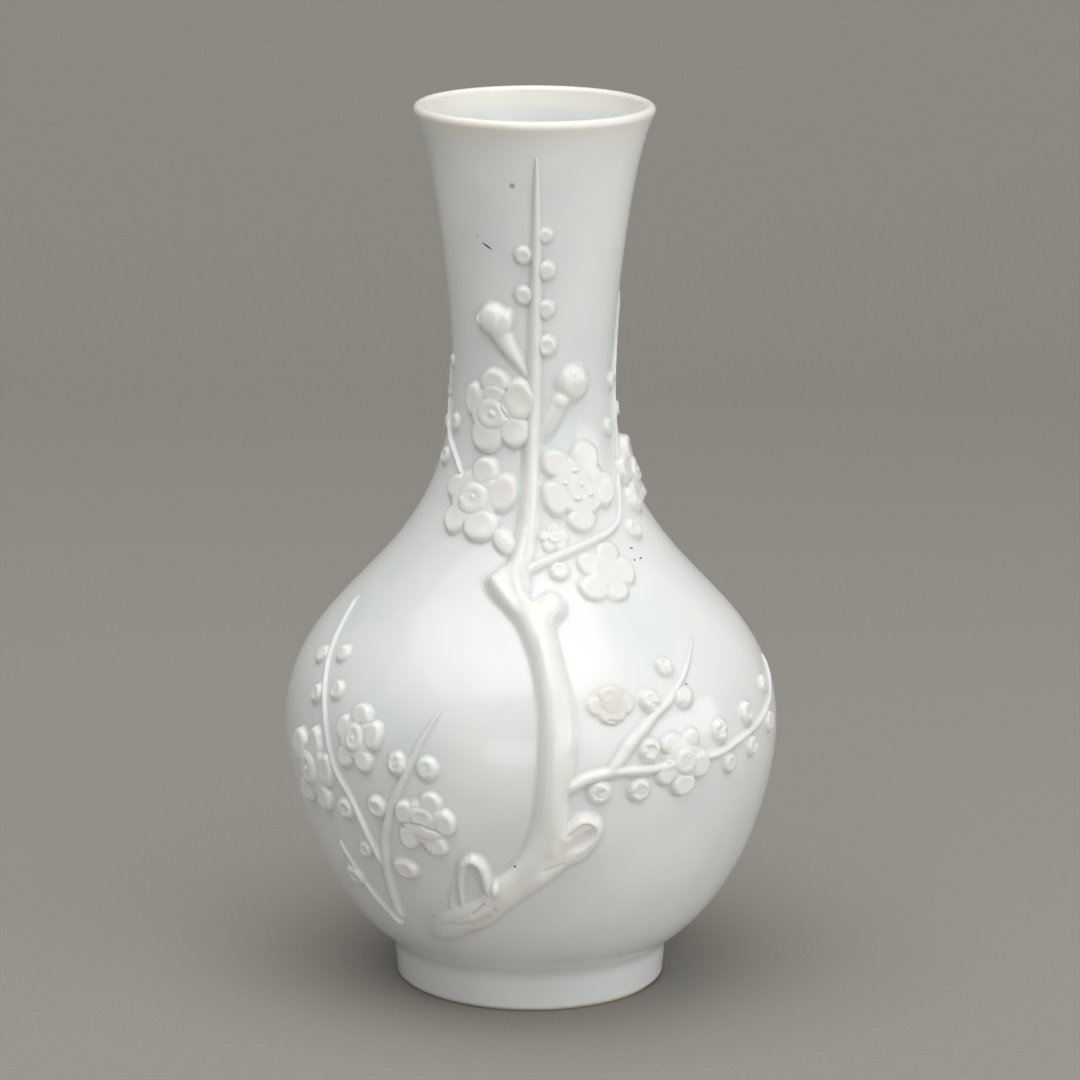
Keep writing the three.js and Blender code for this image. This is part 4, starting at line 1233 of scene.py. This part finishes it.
# Twigs: turn, level and width along it, its relief and its tip's, and the buds pressed with it
TWIGS = {
    "neck_shoot": {
        "path": [
            (-4.2, 1.49, 4.8), (-5.2, 1.535, 5), (-4.9, 1.577, 4.8), (-3.6, 1.62, 4.4),
            (-1.8, 1.682, 4), (-0.9, 1.779, 3.7), (0, 1.874, 3.4), (0.5, 1.97, 3), (1, 2.107, 2.8),
            (1.4, 2.34, 2.5), (1.6, 2.574, 2), (1.4, 2.731, 1.5), (1.2, 2.89, 0.7),
        ],
        "relief": 2.4, "tip": 0.9,
        "buds": [
            (-6.5, 2.504, 2, 0.1, 0.04), (7.7, 2.444, 2.1, 0.05), (-6.2, 2.348, 2.1, 0.1),
            (7.8, 2.294, 2.1, 0.05), (8.8, 2.152, 2.3, 0.15, 0.05),
        ],
    },
    "shoulder_branch": {
        "path": [
            (-5.5, 1.535, 2.4), (2, 1.563, 2.6), (9, 1.58, 2.5), (16.5, 1.596, 2.4),
            (29.2, 1.617, 2.2), (40, 1.632, 1.9), (49, 1.658, 1.5), (54.5, 1.7, 1.1),
            (59.4, 1.742, 1), (68, 1.817, 0.9), (75, 1.89, 0.9), (82, 2, 1), (87, 2.13, 1),
            (88, 2.31, 0.7),
        ],
        "relief": 1.25, "tip": 0.45, "buds": [(72.7, 1.985, 2, 0.1), (88, 1.905, 1.8)],
    },
    "neck_left_twig": {
        "path": [
            (-46, 1.762, 1), (-53, 1.79, 1.3), (-61, 1.817, 1.5), (-72, 1.847, 1.5),
            (-82, 1.89, 1.5), (-86, 1.95, 1.3), (-82, 2.02, 1.1), (-75, 2.05, 0.8),
        ],
        "relief": 0.8, "tip": 0.7,
        "buds": [(-89, 1.945, 1.9), (-90, 1.87, 1.7), (-65.7, 1.885, 2, 0.1), (-79, 2.04, 1.5)],
    },
    "left_middle_twig": {
        "path": [
            (-38.5, 0.35, 2.4), (-38, 0.53, 3), (-36.6, 0.72, 2.6), (-32.2, 0.92, 2.4),
            (-28.4, 1.03, 2.1), (-25.6, 1.102, 1.6), (-21.4, 1.188, 0.7),
        ],
        "relief": 1.1, "tip": 0.45, "buds": [],
    },
    "left_outer_twig": {
        "path": [
            (-38, 0.6, 1.9), (-41.5, 0.74, 1.9), (-45.4, 0.876, 1.8), (-48.3, 0.938, 1.8),
            (-51, 1, 1.7), (-56.3, 1.105, 1.6), (-61.5, 1.188, 1.5), (-66.9, 1.268, 1.4),
            (-71, 1.34, 1.1), (-74.7, 1.394, 0.7),
        ],
        "relief": 1, "tip": 0.55, "buds": [(-43.4, 0.67, 2, 0.2, 0.1)],
    },
    "left_low_twig": {
        "path": [(-39.6, 0.31, 1.8), (-44, 0.4, 2.1), (-49, 0.53, 1.8), (-53.5, 0.67, 0.8)],
        "relief": 1, "tip": 0.6, "buds": [],
    },
    "right_branch": {
        "path": [
            (5, 0.985, 2.8), (9, 1.01, 2.8), (12.2, 1.025, 2.7), (16, 1.034, 2.6), (20, 1.038, 2.5),
            (28.8, 1.034, 2.4), (38.6, 1.042, 2.3), (46, 1.036, 2.1), (53, 1.046, 2),
            (59.3, 1.056, 2), (66, 1.068, 1.8), (72, 1.084, 1.7), (78, 1.108, 1.4), (84, 1.14, 1.1),
            (89, 1.18, 0.7),
        ],
        "relief": 1.5, "tip": 0.6,
        "buds": [
            (15.5, 0.987, 2.6, 0.16, 0.12, 0.3), (24.9, 0.982, 2.6, 0.16, 0.1, 0.3),
            (48.8, 1.09, 2.5, 0.12, 0.05, 0.3), (60.4, 1.106, 2.5, 0.15, 0.08, 0.2),
            (75, 1.14, 2, -0.05, 0, 0.2, 1.4, 70),
        ],
    },
    "right_side_twig": {
        "path": [
            (17.4, 1.032, 2.2), (21.2, 1.075, 2.8), (23.2, 1.099, 2.9), (27.3, 1.133, 2.7),
            (30.3, 1.158, 2.4), (35.2, 1.185, 2.2), (38.3, 1.21, 1.9), (41.8, 1.234, 1.5),
            (45.5, 1.265, 1.2), (50.5, 1.308, 0.9), (53.5, 1.329, 0.6),
        ],
        "relief": 1.35, "tip": 0.5, "buds": [],
    },
    "back_shoot": {
        "path": [
            (181.5, 1.365, 4.8), (178, 1.65, 3.4), (179, 1.85, 2.8), (181, 2.15, 2),
            (180, 2.55, 0.8),
        ],
        "relief": 2, "tip": 0.8, "buds": [(173, 2.2, 2), (187, 2.07, 2.1), (173, 1.98, 2.1)],
    },
    "back_left_branch": {
        "path": [(176, 1.02, 3.4), (160, 1.04, 3), (144, 1.09, 2.4), (128, 1.18, 0.8)],
        "relief": 1.8, "tip": 0.7, "buds": [(152, 1.1, 2.3), (137, 1.08, 2.3, 0.3, 0.2)],
    },
    "back_right_branch": {
        "path": [(180, 0.85, 3.4), (200, 0.95, 3), (218, 1.08, 2.4), (234, 1.24, 0.8)],
        "relief": 1.8, "tip": 0.7, "buds": [(208, 0.94, 2.3, 0.3, 0.2), (224, 1.08, 2.3)],
    },
}

# Loose buds: turn, level, radius, dish, ring, lump, stretch and roll
BUDS = {
    "bud_shoot_tip": (6.8, 2.581, 1.7, 0.05), "bud_neck_right_low": (62.4, 1.878, 2),
    "bud_neck_left_low": (-71.1, 1.798, 2, 0.2, 0.1),
    "bud_shoulder_right_high": (70.3, 1.688, 2.7, 0, 0, 0.4, 1.25, 20),
    "bud_shoulder_right_low": (57, 1.624, 2.4, 0.15, 0.15),
    "bud_fork": (11.2, 1.547, 2.2, 0.1, 0.1), "bud_left_1": (-68.7, 1.229, 2.2, 0.05, 0, 0.3),
    "bud_left_2": (-59, 1.257, 2.2, 0, 0, 0.2), "bud_left_3": (-62.1, 1.143, 2.2, 0.1, 0.05, 0.2),
    "bud_left_4": (-54.3, 1.17, 2.2, 0.05, 0, 0.2),
    "bud_left_5": (-31.4, 1.038, 2.3, 0.2, 0.08, 0.4, 1.15, 60),
    "bud_left_6": (-23.7, 1.038, 2.6, 0.07, 0.03, 0.1),
    "bud_left_7": (-37.3, 0.875, 2.5, 0.24, 0.1, 0.2),
    "bud_left_8": (-47.6, 0.83, 2.5, 0.2, 0.1, 0.2),
    "bud_left_9": (-31.5, 0.625, 2.6, 0.18, 0.08, 0.15, 1.25, -35),
    "bud_left_10": (-50.8, 0.52, 2.4, 0.2, 0.08, 0.15, 1.3, 110),
    "bud_right_1": (37.4, 1.269, 2.2, 0, 0, 0.4, 1.1, -30),
    "bud_right_2": (29.9, 1.193, 2.5, 0.1, 0.1, 0.5),
    "bud_right_3": (39.9, 1.187, 2.3, 0, 0, 0.3, 1.2, 80),
    "bud_right_4": (27.8, 1.079, 2.6, 0.22, 0.12, 0.4),
    "bud_right_5": (51.5, 1.005, 2.3, 0.18, 0.08, 0.2),
    "bud_right_6": (60.9, 1.023, 2.3, 0.2, 0.1, 0.2),
    "bud_right_7": (72.6, 1.053, 2.4, 0.2, 0.1, 0.2),
    "bud_leaf": (-13.1, 1.62, 2.2, -0.1, 0, 0.1, 1.6, -62),
}


# Glazes

# Noise scales are waves per metre: a drift of colour some 26 mm wide, streaks of 14 mm, a slow
# waviness of the glaze of 8 mm, scorching of 22 mm, and paper grain, drawn 1 mm coarse to show
DRIFT, STREAKS, WAVES, SCORCHES, GRAIN = 38.0, 70.0, 130.0, 45.0, 900.0
GLOSS, BARE_ROUGHNESS = 0.17, 0.6
# Heights and reliefs in metres where one look passes into another
LIP_START, LIP_END = 0.197, 0.2042
BARE_END, BARE_START = 0.0011, 0.0006
WARM_START, WARM_END = 0.0002, 0.0016
# The pool band is thick glaze and painted shade, low on the relief where it meets the wall.
POOL_SHADE_TOP, POOL_SHADE_FULL, POOL_SHADE_STRENGTH = 0.0006, 0.0003, 0.2
# Flaws: turn, height, distance off the wall, radius, how long for its width, its tilt and its kind
FLAWS = [
    (-12.1, 190, 0, 0.9, 1, 0, "pit"), (-36, 177.6, 0, 0.4, 1, 0, "pit"),
    (-29.8, 175.6, 0, 0.28, 7, -30, "speck"), (49.9, 106.6, 0, 0.26, 2.6, -30, "speck"),
    (48.3, 104.3, 0, 0.32, 1, 0, "speck"), (52.4, 104.3, 0, 0.24, 2.6, 10, "speck"),
    (-66, 156, 0, 0.3, 1, 0, "pit"), (-3.6, 42.8, 0.8, 0.42, 1, 0, "speck"),
    (-27, 26.9, 0.3, 0.26, 3, -75, "speck"), (-24.6, 45.6, 1.3, 0.34, 1, 0, "speck"),
    (-23.2, 45.2, 1.4, 0.24, 1, 0, "speck"), (-24, 44.6, 1.2, 1.7, 1, 0, "stain"),
    (42.3, 80.2, 0, 0.32, 1, 0, "speck"), (19.8, 78.9, 0.6, 6.4, 1, 0, "stain"),
    (20, 74.8, 0.3, 0.24, 7, -12, "pit"), (-86, 203.6, 0, 0.4, 1, 0, "pit"),
    (151, 204, 0, 0.4, 1, 0, "pit"),
]
# How much of a flaw is soft, its strength and its colour
FLAW_KINDS = {
    "pit": (0.2, 0.55, "speck"), "speck": (0.6, 0.92, "speck"), "stain": (0.2, 0.27, "stain"),
}


def coat(name):
    """A new material, its empty tree, and the object's own coordinates in it."""
    material = bpy.data.materials.new(name)
    material.use_nodes = True
    tree = material.node_tree
    tree.nodes.clear()
    return material, tree, add(tree, "ShaderNodeTexCoord").outputs["Object"]


def porcelain(tree, glaze, spot, height, warmth):
    """Glazed porcelain: colour that drifts slowly, and turns ivory at the lip.

    Porcelain under a clear glaze is white and a little cool. The glaze gives a sharp, slightly
    wavy gloss, because it settles level over the hand-worked surface.
    """
    cloud = add(tree, NOISE, {"Vector": spot, "Scale": DRIFT, "Detail": 2.0})
    patchy = add(tree, RANGE, {"Value": cloud, "From Min": 0.35, "From Max": 0.7})
    lip = add(tree, RANGE, {
        "Value": height, "From Min": LIP_START, "From Max": LIP_END,
    }, interpolation_type="SMOOTHSTEP")
    streaks = add(tree, NOISE, {"Vector": spot, "Scale": STREAKS})
    worn = add(tree, RANGE, {"Value": streaks, "From Min": 0.3, "From Max": 0.6, "To Min": 0.45})
    ivory = add(tree, MATH, lip, worn, operation="MULTIPLY")
    base = (*glaze.body, 1)
    for factor, tint in ((patchy, glaze.pooled), (warmth, glaze.sprig), (ivory, glaze.ivory)):
        base = add(tree, MIX, {"Factor": factor, "A": base, "B": (*tint, 1)}, data_type="RGBA")
    return base


def flawed(tree, glaze, base, spot, wall):
    """Small pits, specks and stains, each round or oval about a place on the wall."""
    for turn, height, lift, radius, stretch, tilt, kind in FLAWS:
        angle, heel = math.radians(turn), math.radians(tilt)
        distance = np.interp(height, wall.line[:, 1], wall.run)
        foot, out = wall.on(np.array(angle), distance)
        right = np.array([math.cos(angle), math.sin(angle), 0])
        way = right * math.cos(heel) + np.cross(out, right) * math.sin(heel)
        centre = tuple((foot + out * lift) * MM)
        away = add(tree, VECTOR_MATH, spot, centre, operation="SUBTRACT")
        if stretch > 1:
            along = add(tree, VECTOR_MATH, away, tuple(way), operation="DOT_PRODUCT")
            squeeze = tuple(way * (1 / stretch - 1))
            away = add(tree, VECTOR_MATH, squeeze, along, away, operation="MULTIPLY_ADD")
        soft, strength, tint = FLAW_KINDS[kind]
        mark = add(tree, RANGE, {
            "Value": add(tree, VECTOR_MATH, away, operation="LENGTH"),
            "From Min": radius * MM, "From Max": radius * soft * MM, "To Max": strength,
        }, interpolation_type="SMOOTHSTEP")
        base = add(tree, MIX, {
            "Factor": mark, "A": base, "B": (*getattr(glaze, tint), 1),
        }, data_type="RGBA")
    return base


def glossy(tree, base, spot, rough=GLOSS):
    """A clear hard glaze with a slight waviness, over clay that lets light in a little."""
    wave = add(tree, NOISE, {"Vector": spot, "Scale": WAVES, "Detail": 1.0})
    bump = add(tree, "ShaderNodeBump", {"Strength": 0.12, "Distance": 0.4 * MM, "Height": wave})
    shader = add(tree, "ShaderNodeBsdfPrincipled", {
        "Base Color": base, "Roughness": rough, "IOR": 1.5, "Normal": bump,
        "Subsurface Weight": 0.3, "Subsurface Radius": (1, 1, 0.9), "Subsurface Scale": 1.2 * MM,
    })
    add(tree, "ShaderNodeOutputMaterial", shader)


def sprig_glaze(glaze, wall):
    """Glaze over the moulded sprigs, thin and warm on their tops, gathered round their feet, with
    painted shade where they meet the wall.
    """
    name = "Clear Glaze on Pressed Porcelain"
    if name in bpy.data.materials:
        return bpy.data.materials[name]
    material, tree, spot = coat(name)
    height = add(tree, SPLIT, spot).outputs["Z"]
    relief = add(tree, "ShaderNodeAttribute", attribute_name="relief").outputs["Fac"]
    warmth = add(tree, RANGE, {"Value": relief, "From Min": WARM_START, "From Max": WARM_END})
    base = porcelain(tree, glaze, spot, height, warmth)
    # Pool band: a grey-green tint low on each sprig, partly pooled glaze and partly painted shade
    # in the corner at the wall.
    foot = add(tree, RANGE, {
        "Value": relief, "From Min": 0.0, "From Max": WARM_START, "To Max": POOL_SHADE_STRENGTH,
    })
    slope = add(tree, RANGE, {"Value": relief, "From Min": POOL_SHADE_TOP, "From Max": POOL_SHADE_FULL})
    pool = add(tree, MATH, foot, slope, operation="MULTIPLY")
    base = add(tree, MIX, {"Factor": pool, "A": base, "B": (*glaze.pool, 1)}, data_type="RGBA")
    glossy(tree, flawed(tree, glaze, base, spot, wall), spot)
    return material


def body_glaze(glaze, wall):
    """Glaze over the thrown body, wiped off the foot's edge, where the clay is scorched."""
    material, tree, spot = coat("Clear Glaze on Thrown Porcelain")
    height = add(tree, SPLIT, spot).outputs["Z"]
    base = flawed(tree, glaze, porcelain(tree, glaze, spot, height, 0.0), spot, wall)
    edge = add(tree, RANGE, {"Value": height, "From Min": BARE_END, "From Max": BARE_START})
    flash = add(tree, NOISE, {"Vector": spot, "Scale": SCORCHES, "Detail": 2.0})
    flash = add(tree, RANGE, {"Value": flash, "From Min": 0.5, "From Max": 0.7})
    clay = (*glaze.bare, 1)
    clay = add(tree, MIX, {"Factor": flash, "A": clay, "B": (*glaze.scorch, 1)}, data_type="RGBA")
    base = add(tree, MIX, {"Factor": edge, "A": base, "B": clay}, data_type="RGBA")
    rough = add(tree, RANGE, {"Value": edge, "To Min": GLOSS, "To Max": BARE_ROUGHNESS})
    glossy(tree, base, spot, rough)
    return material


# Operators


class VASE_OT_thrown_body(bpy.types.Operator):
    """Turn the foot, bowl, shoulder and neck as one glazed body"""

    bl_idname = "vase.thrown_body"
    bl_label = "Thrown Body"

    def execute(self, context):
        scene = context.scene
        form = scene.vase_form
        wall = Wall(form)
        section = wall.outline()
        points = np.column_stack([section[:, 0], np.zeros(len(section)), section[:, 1]])
        edges = [(i, i + 1) for i in range(len(points) - 1)]
        source = mesh_object("outline", points, edges)
        mesh = grown(source, thrown_tree(), {
            "Sides": form.sides, "Wander": form.wander * MM,
            "Wander Spacing": form.wander_spacing * MM, "Foot": wall.foot_height * MM,
            "Glaze": body_glaze(scene.vase_glaze, wall),
        })
        nodes = ("foot_ring", "lower_body", "upper_body", "neck")
        piece("thrown_body", [mesh], BODY_SLOT, *nodes)
        return {"FINISHED"}


class VASE_OT_trunks(bpy.types.Operator):
    """Model the prunus trunks at the front and the back"""

    bl_idname = "vase.trunks"
    bl_label = "Trunks"

    def execute(self, context):
        shop = Workshop(context)
        for name, sculpt in (("trunk", sculpt_trunk), ("back_trunk", sculpt_back_trunk)):
            shop.lay(name, [shop.moulded(sculpt(shop))])
        return {"FINISHED"}


class VASE_OT_twigs(bpy.types.Operator):
    """Roll the shoots, branches and twigs, with the buds that touch them"""

    bl_idname = "vase.twigs"
    bl_label = "Twigs"

    def execute(self, context):
        shop = Workshop(context)
        for name, row in TWIGS.items():
            meshes = [shop.twig(row["path"], row["relief"], row["tip"])]
            if row["buds"]:
                meshes.append(shop.buds(row["buds"]))
            shop.lay(name, meshes)
        return {"FINISHED"}


class VASE_OT_blossoms(bpy.types.Operator):
    """Model the blossoms and the two wrapped bud heads"""

    bl_idname = "vase.blossoms"
    bl_label = "Blossoms"

    def execute(self, context):
        shop = Workshop(context)
        for name, row in HEADS.items():
            shop.lay(name, [shop.moulded(sculpt_head(shop, row))])
        for seed, (name, row) in enumerate(BLOSSOMS.items()):
            shop.lay(name, [shop.moulded(sculpt_blossom(shop, row, seed))])
        return {"FINISHED"}


class VASE_OT_buds(bpy.types.Operator):
    """Press the loose buds"""

    bl_idname = "vase.buds"
    bl_label = "Buds"

    def execute(self, context):
        shop = Workshop(context)
        for name, row in BUDS.items():
            shop.lay(name, [shop.buds([row])])
        return {"FINISHED"}


class VASE_OT_stage(bpy.types.Operator):
    """Set the paper sweep, the camera and the lights"""

    bl_idname = "vase.stage"
    bl_label = "Stage"

    def execute(self, context):
        studio = context.scene.vase_studio
        sweep(studio)
        camera(context.scene, studio)
        lamps(context.scene, studio)
        return {"FINISHED"}


# Stage


def sweep(studio):
    """A paper sweep that runs back and curves up."""
    floor, back, rise, bend, half = 2400, 620, 1200, 650, 2500
    turn = np.linspace(0, math.pi / 2, 24)
    line = np.vstack([
        [(-floor, 0)],
        np.column_stack([back + bend * np.sin(turn), bend - bend * np.cos(turn)]),
        [(back + bend, bend + rise)],
    ])
    points = [(x, y, z) for y, z in line for x in (-half, half)]
    faces = [(2 * i, 2 * i + 1, 2 * i + 3, 2 * i + 2) for i in range(len(line) - 1)]
    made = mesh_object("paper_sweep", points, faces=faces)
    made.data.polygons.foreach_set("use_smooth", [True] * len(faces))
    material, tree, spot = coat("Matt Paper")
    grain = add(tree, NOISE, {"Vector": spot, "Scale": GRAIN, "Detail": 2.0})
    level = add(tree, RANGE, {
        "Value": grain, "From Min": 0.3, "From Max": 0.7, "To Min": 0.97, "To Max": 1.03,
    })
    tone = add(tree, VECTOR_MATH, {0: studio.floor, "Scale": level}, operation="SCALE")
    paper = add(tree, "ShaderNodeBsdfPrincipled", {
        "Base Color": tone, "Roughness": 0.9, "Specular IOR Level": 0.2,
    })
    add(tree, "ShaderNodeOutputMaterial", paper)
    made.data.materials.append(material)


def camera(scene, studio):
    """The camera at the photo's angle."""
    lens = bpy.data.cameras.new("camera")
    lens.lens = studio.focal_length
    lens.sensor_width = 36
    lens.clip_end = 20
    made = bpy.data.objects.new("camera", lens)
    scene.collection.objects.link(made)
    at = Vector((studio.camera_side, -studio.distance, studio.camera_height)) * MM
    made.matrix_world = (
        Matrix.Translation(at)
        @ Matrix.Rotation(math.pi / 2 - studio.pitch, 4, "X")
        @ Matrix.Rotation(studio.roll, 4, "Z")
    )
    scene.camera = made


def lamp(scene, name, at, aim, size, power, tint):
    """An area lamp at a place in millimetres, turned to what it lights."""
    light = bpy.data.lights.new(name, "AREA")
    light.shape = "RECTANGLE"
    light.size, light.size_y = size[0] * MM, size[1] * MM
    light.energy = power
    light.color = tint
    made = bpy.data.objects.new(name, light)
    scene.collection.objects.link(made)
    made.location = Vector(at) * MM
    made.rotation_euler = (Vector(aim) - Vector(at)).to_track_quat("-Z", "Y").to_euler()


def lamps(scene, studio):
    """Soft lamps and a faint light from all round."""
    scene.view_settings.view_transform = "Standard"
    middle = (0, 0, 95)
    for name, at, aim, size, tint in (
        ("softbox", (70, -450, 1020), middle, (1160, 620), (1, 0.985, 0.96)),
        ("overhead", (-350, -200, 1700), (-350, -200, 0), (2400, 2400), (1, 1, 1)),
        ("side_lamp", (1400, -300, 330), middle, (1000, 460), (1, 1, 1)),
        ("fill", (1100, -1300, 500), middle, (900, 900), (1, 1, 1)),
        ("front_lamp", (0, -2000, 350), middle, (1500, 600), (1, 1, 1)),
    ):
        lamp(scene, name, at, aim, size, getattr(studio, name), tint)
    world = bpy.data.worlds.new("studio_room")
    world.use_nodes = True
    sky = world.node_tree.nodes["Background"].inputs
    sky["Color"].default_value, sky["Strength"].default_value = (0.97, 1, 1, 1), studio.sky
    scene.world = world


class VASE_PT_parts(bpy.types.Panel):
    """Lists the vase's parts and sizes"""

    bl_idname = "VASE_PT_parts"
    bl_label = "Blanc de Chine Vase"
    bl_space_type = "VIEW_3D"
    bl_region_type = "UI"
    bl_category = "Vase"

    def draw(self, context):
        layout = self.layout
        for operator in OPERATORS:
            layout.operator(operator.bl_idname)
        for name, group in GROUPS.items():
            box = layout.box()
            settings = getattr(context.scene, name)
            for key in group.__annotations__:
                box.prop(settings, key)


GROUPS = {
    "vase_form": VaseForm, "vase_sprigs": SprigForm, "vase_glaze": Glaze, "vase_studio": Studio,
}
OPERATORS = (
    VASE_OT_thrown_body, VASE_OT_trunks, VASE_OT_twigs, VASE_OT_blossoms, VASE_OT_buds,
    VASE_OT_stage,
)


def register():
    for cls in (*GROUPS.values(), *OPERATORS, VASE_PT_parts):
        bpy.utils.register_class(cls)
    for name, group in GROUPS.items():
        setattr(bpy.types.Scene, name, PointerProperty(type=group))


def unregister():
    for name in GROUPS:
        delattr(bpy.types.Scene, name)
    for cls in reversed((*GROUPS.values(), *OPERATORS, VASE_PT_parts)):
        bpy.utils.unregister_class(cls)


def main():
    register()
    for operator in OPERATORS:
        _, name = operator.bl_idname.split(".")
        getattr(bpy.ops.vase, name)()
    laid = bpy.data.collections.get(LAID)
    if laid:
        bpy.data.collections.remove(laid)


if __name__ == "__main__":
    main()
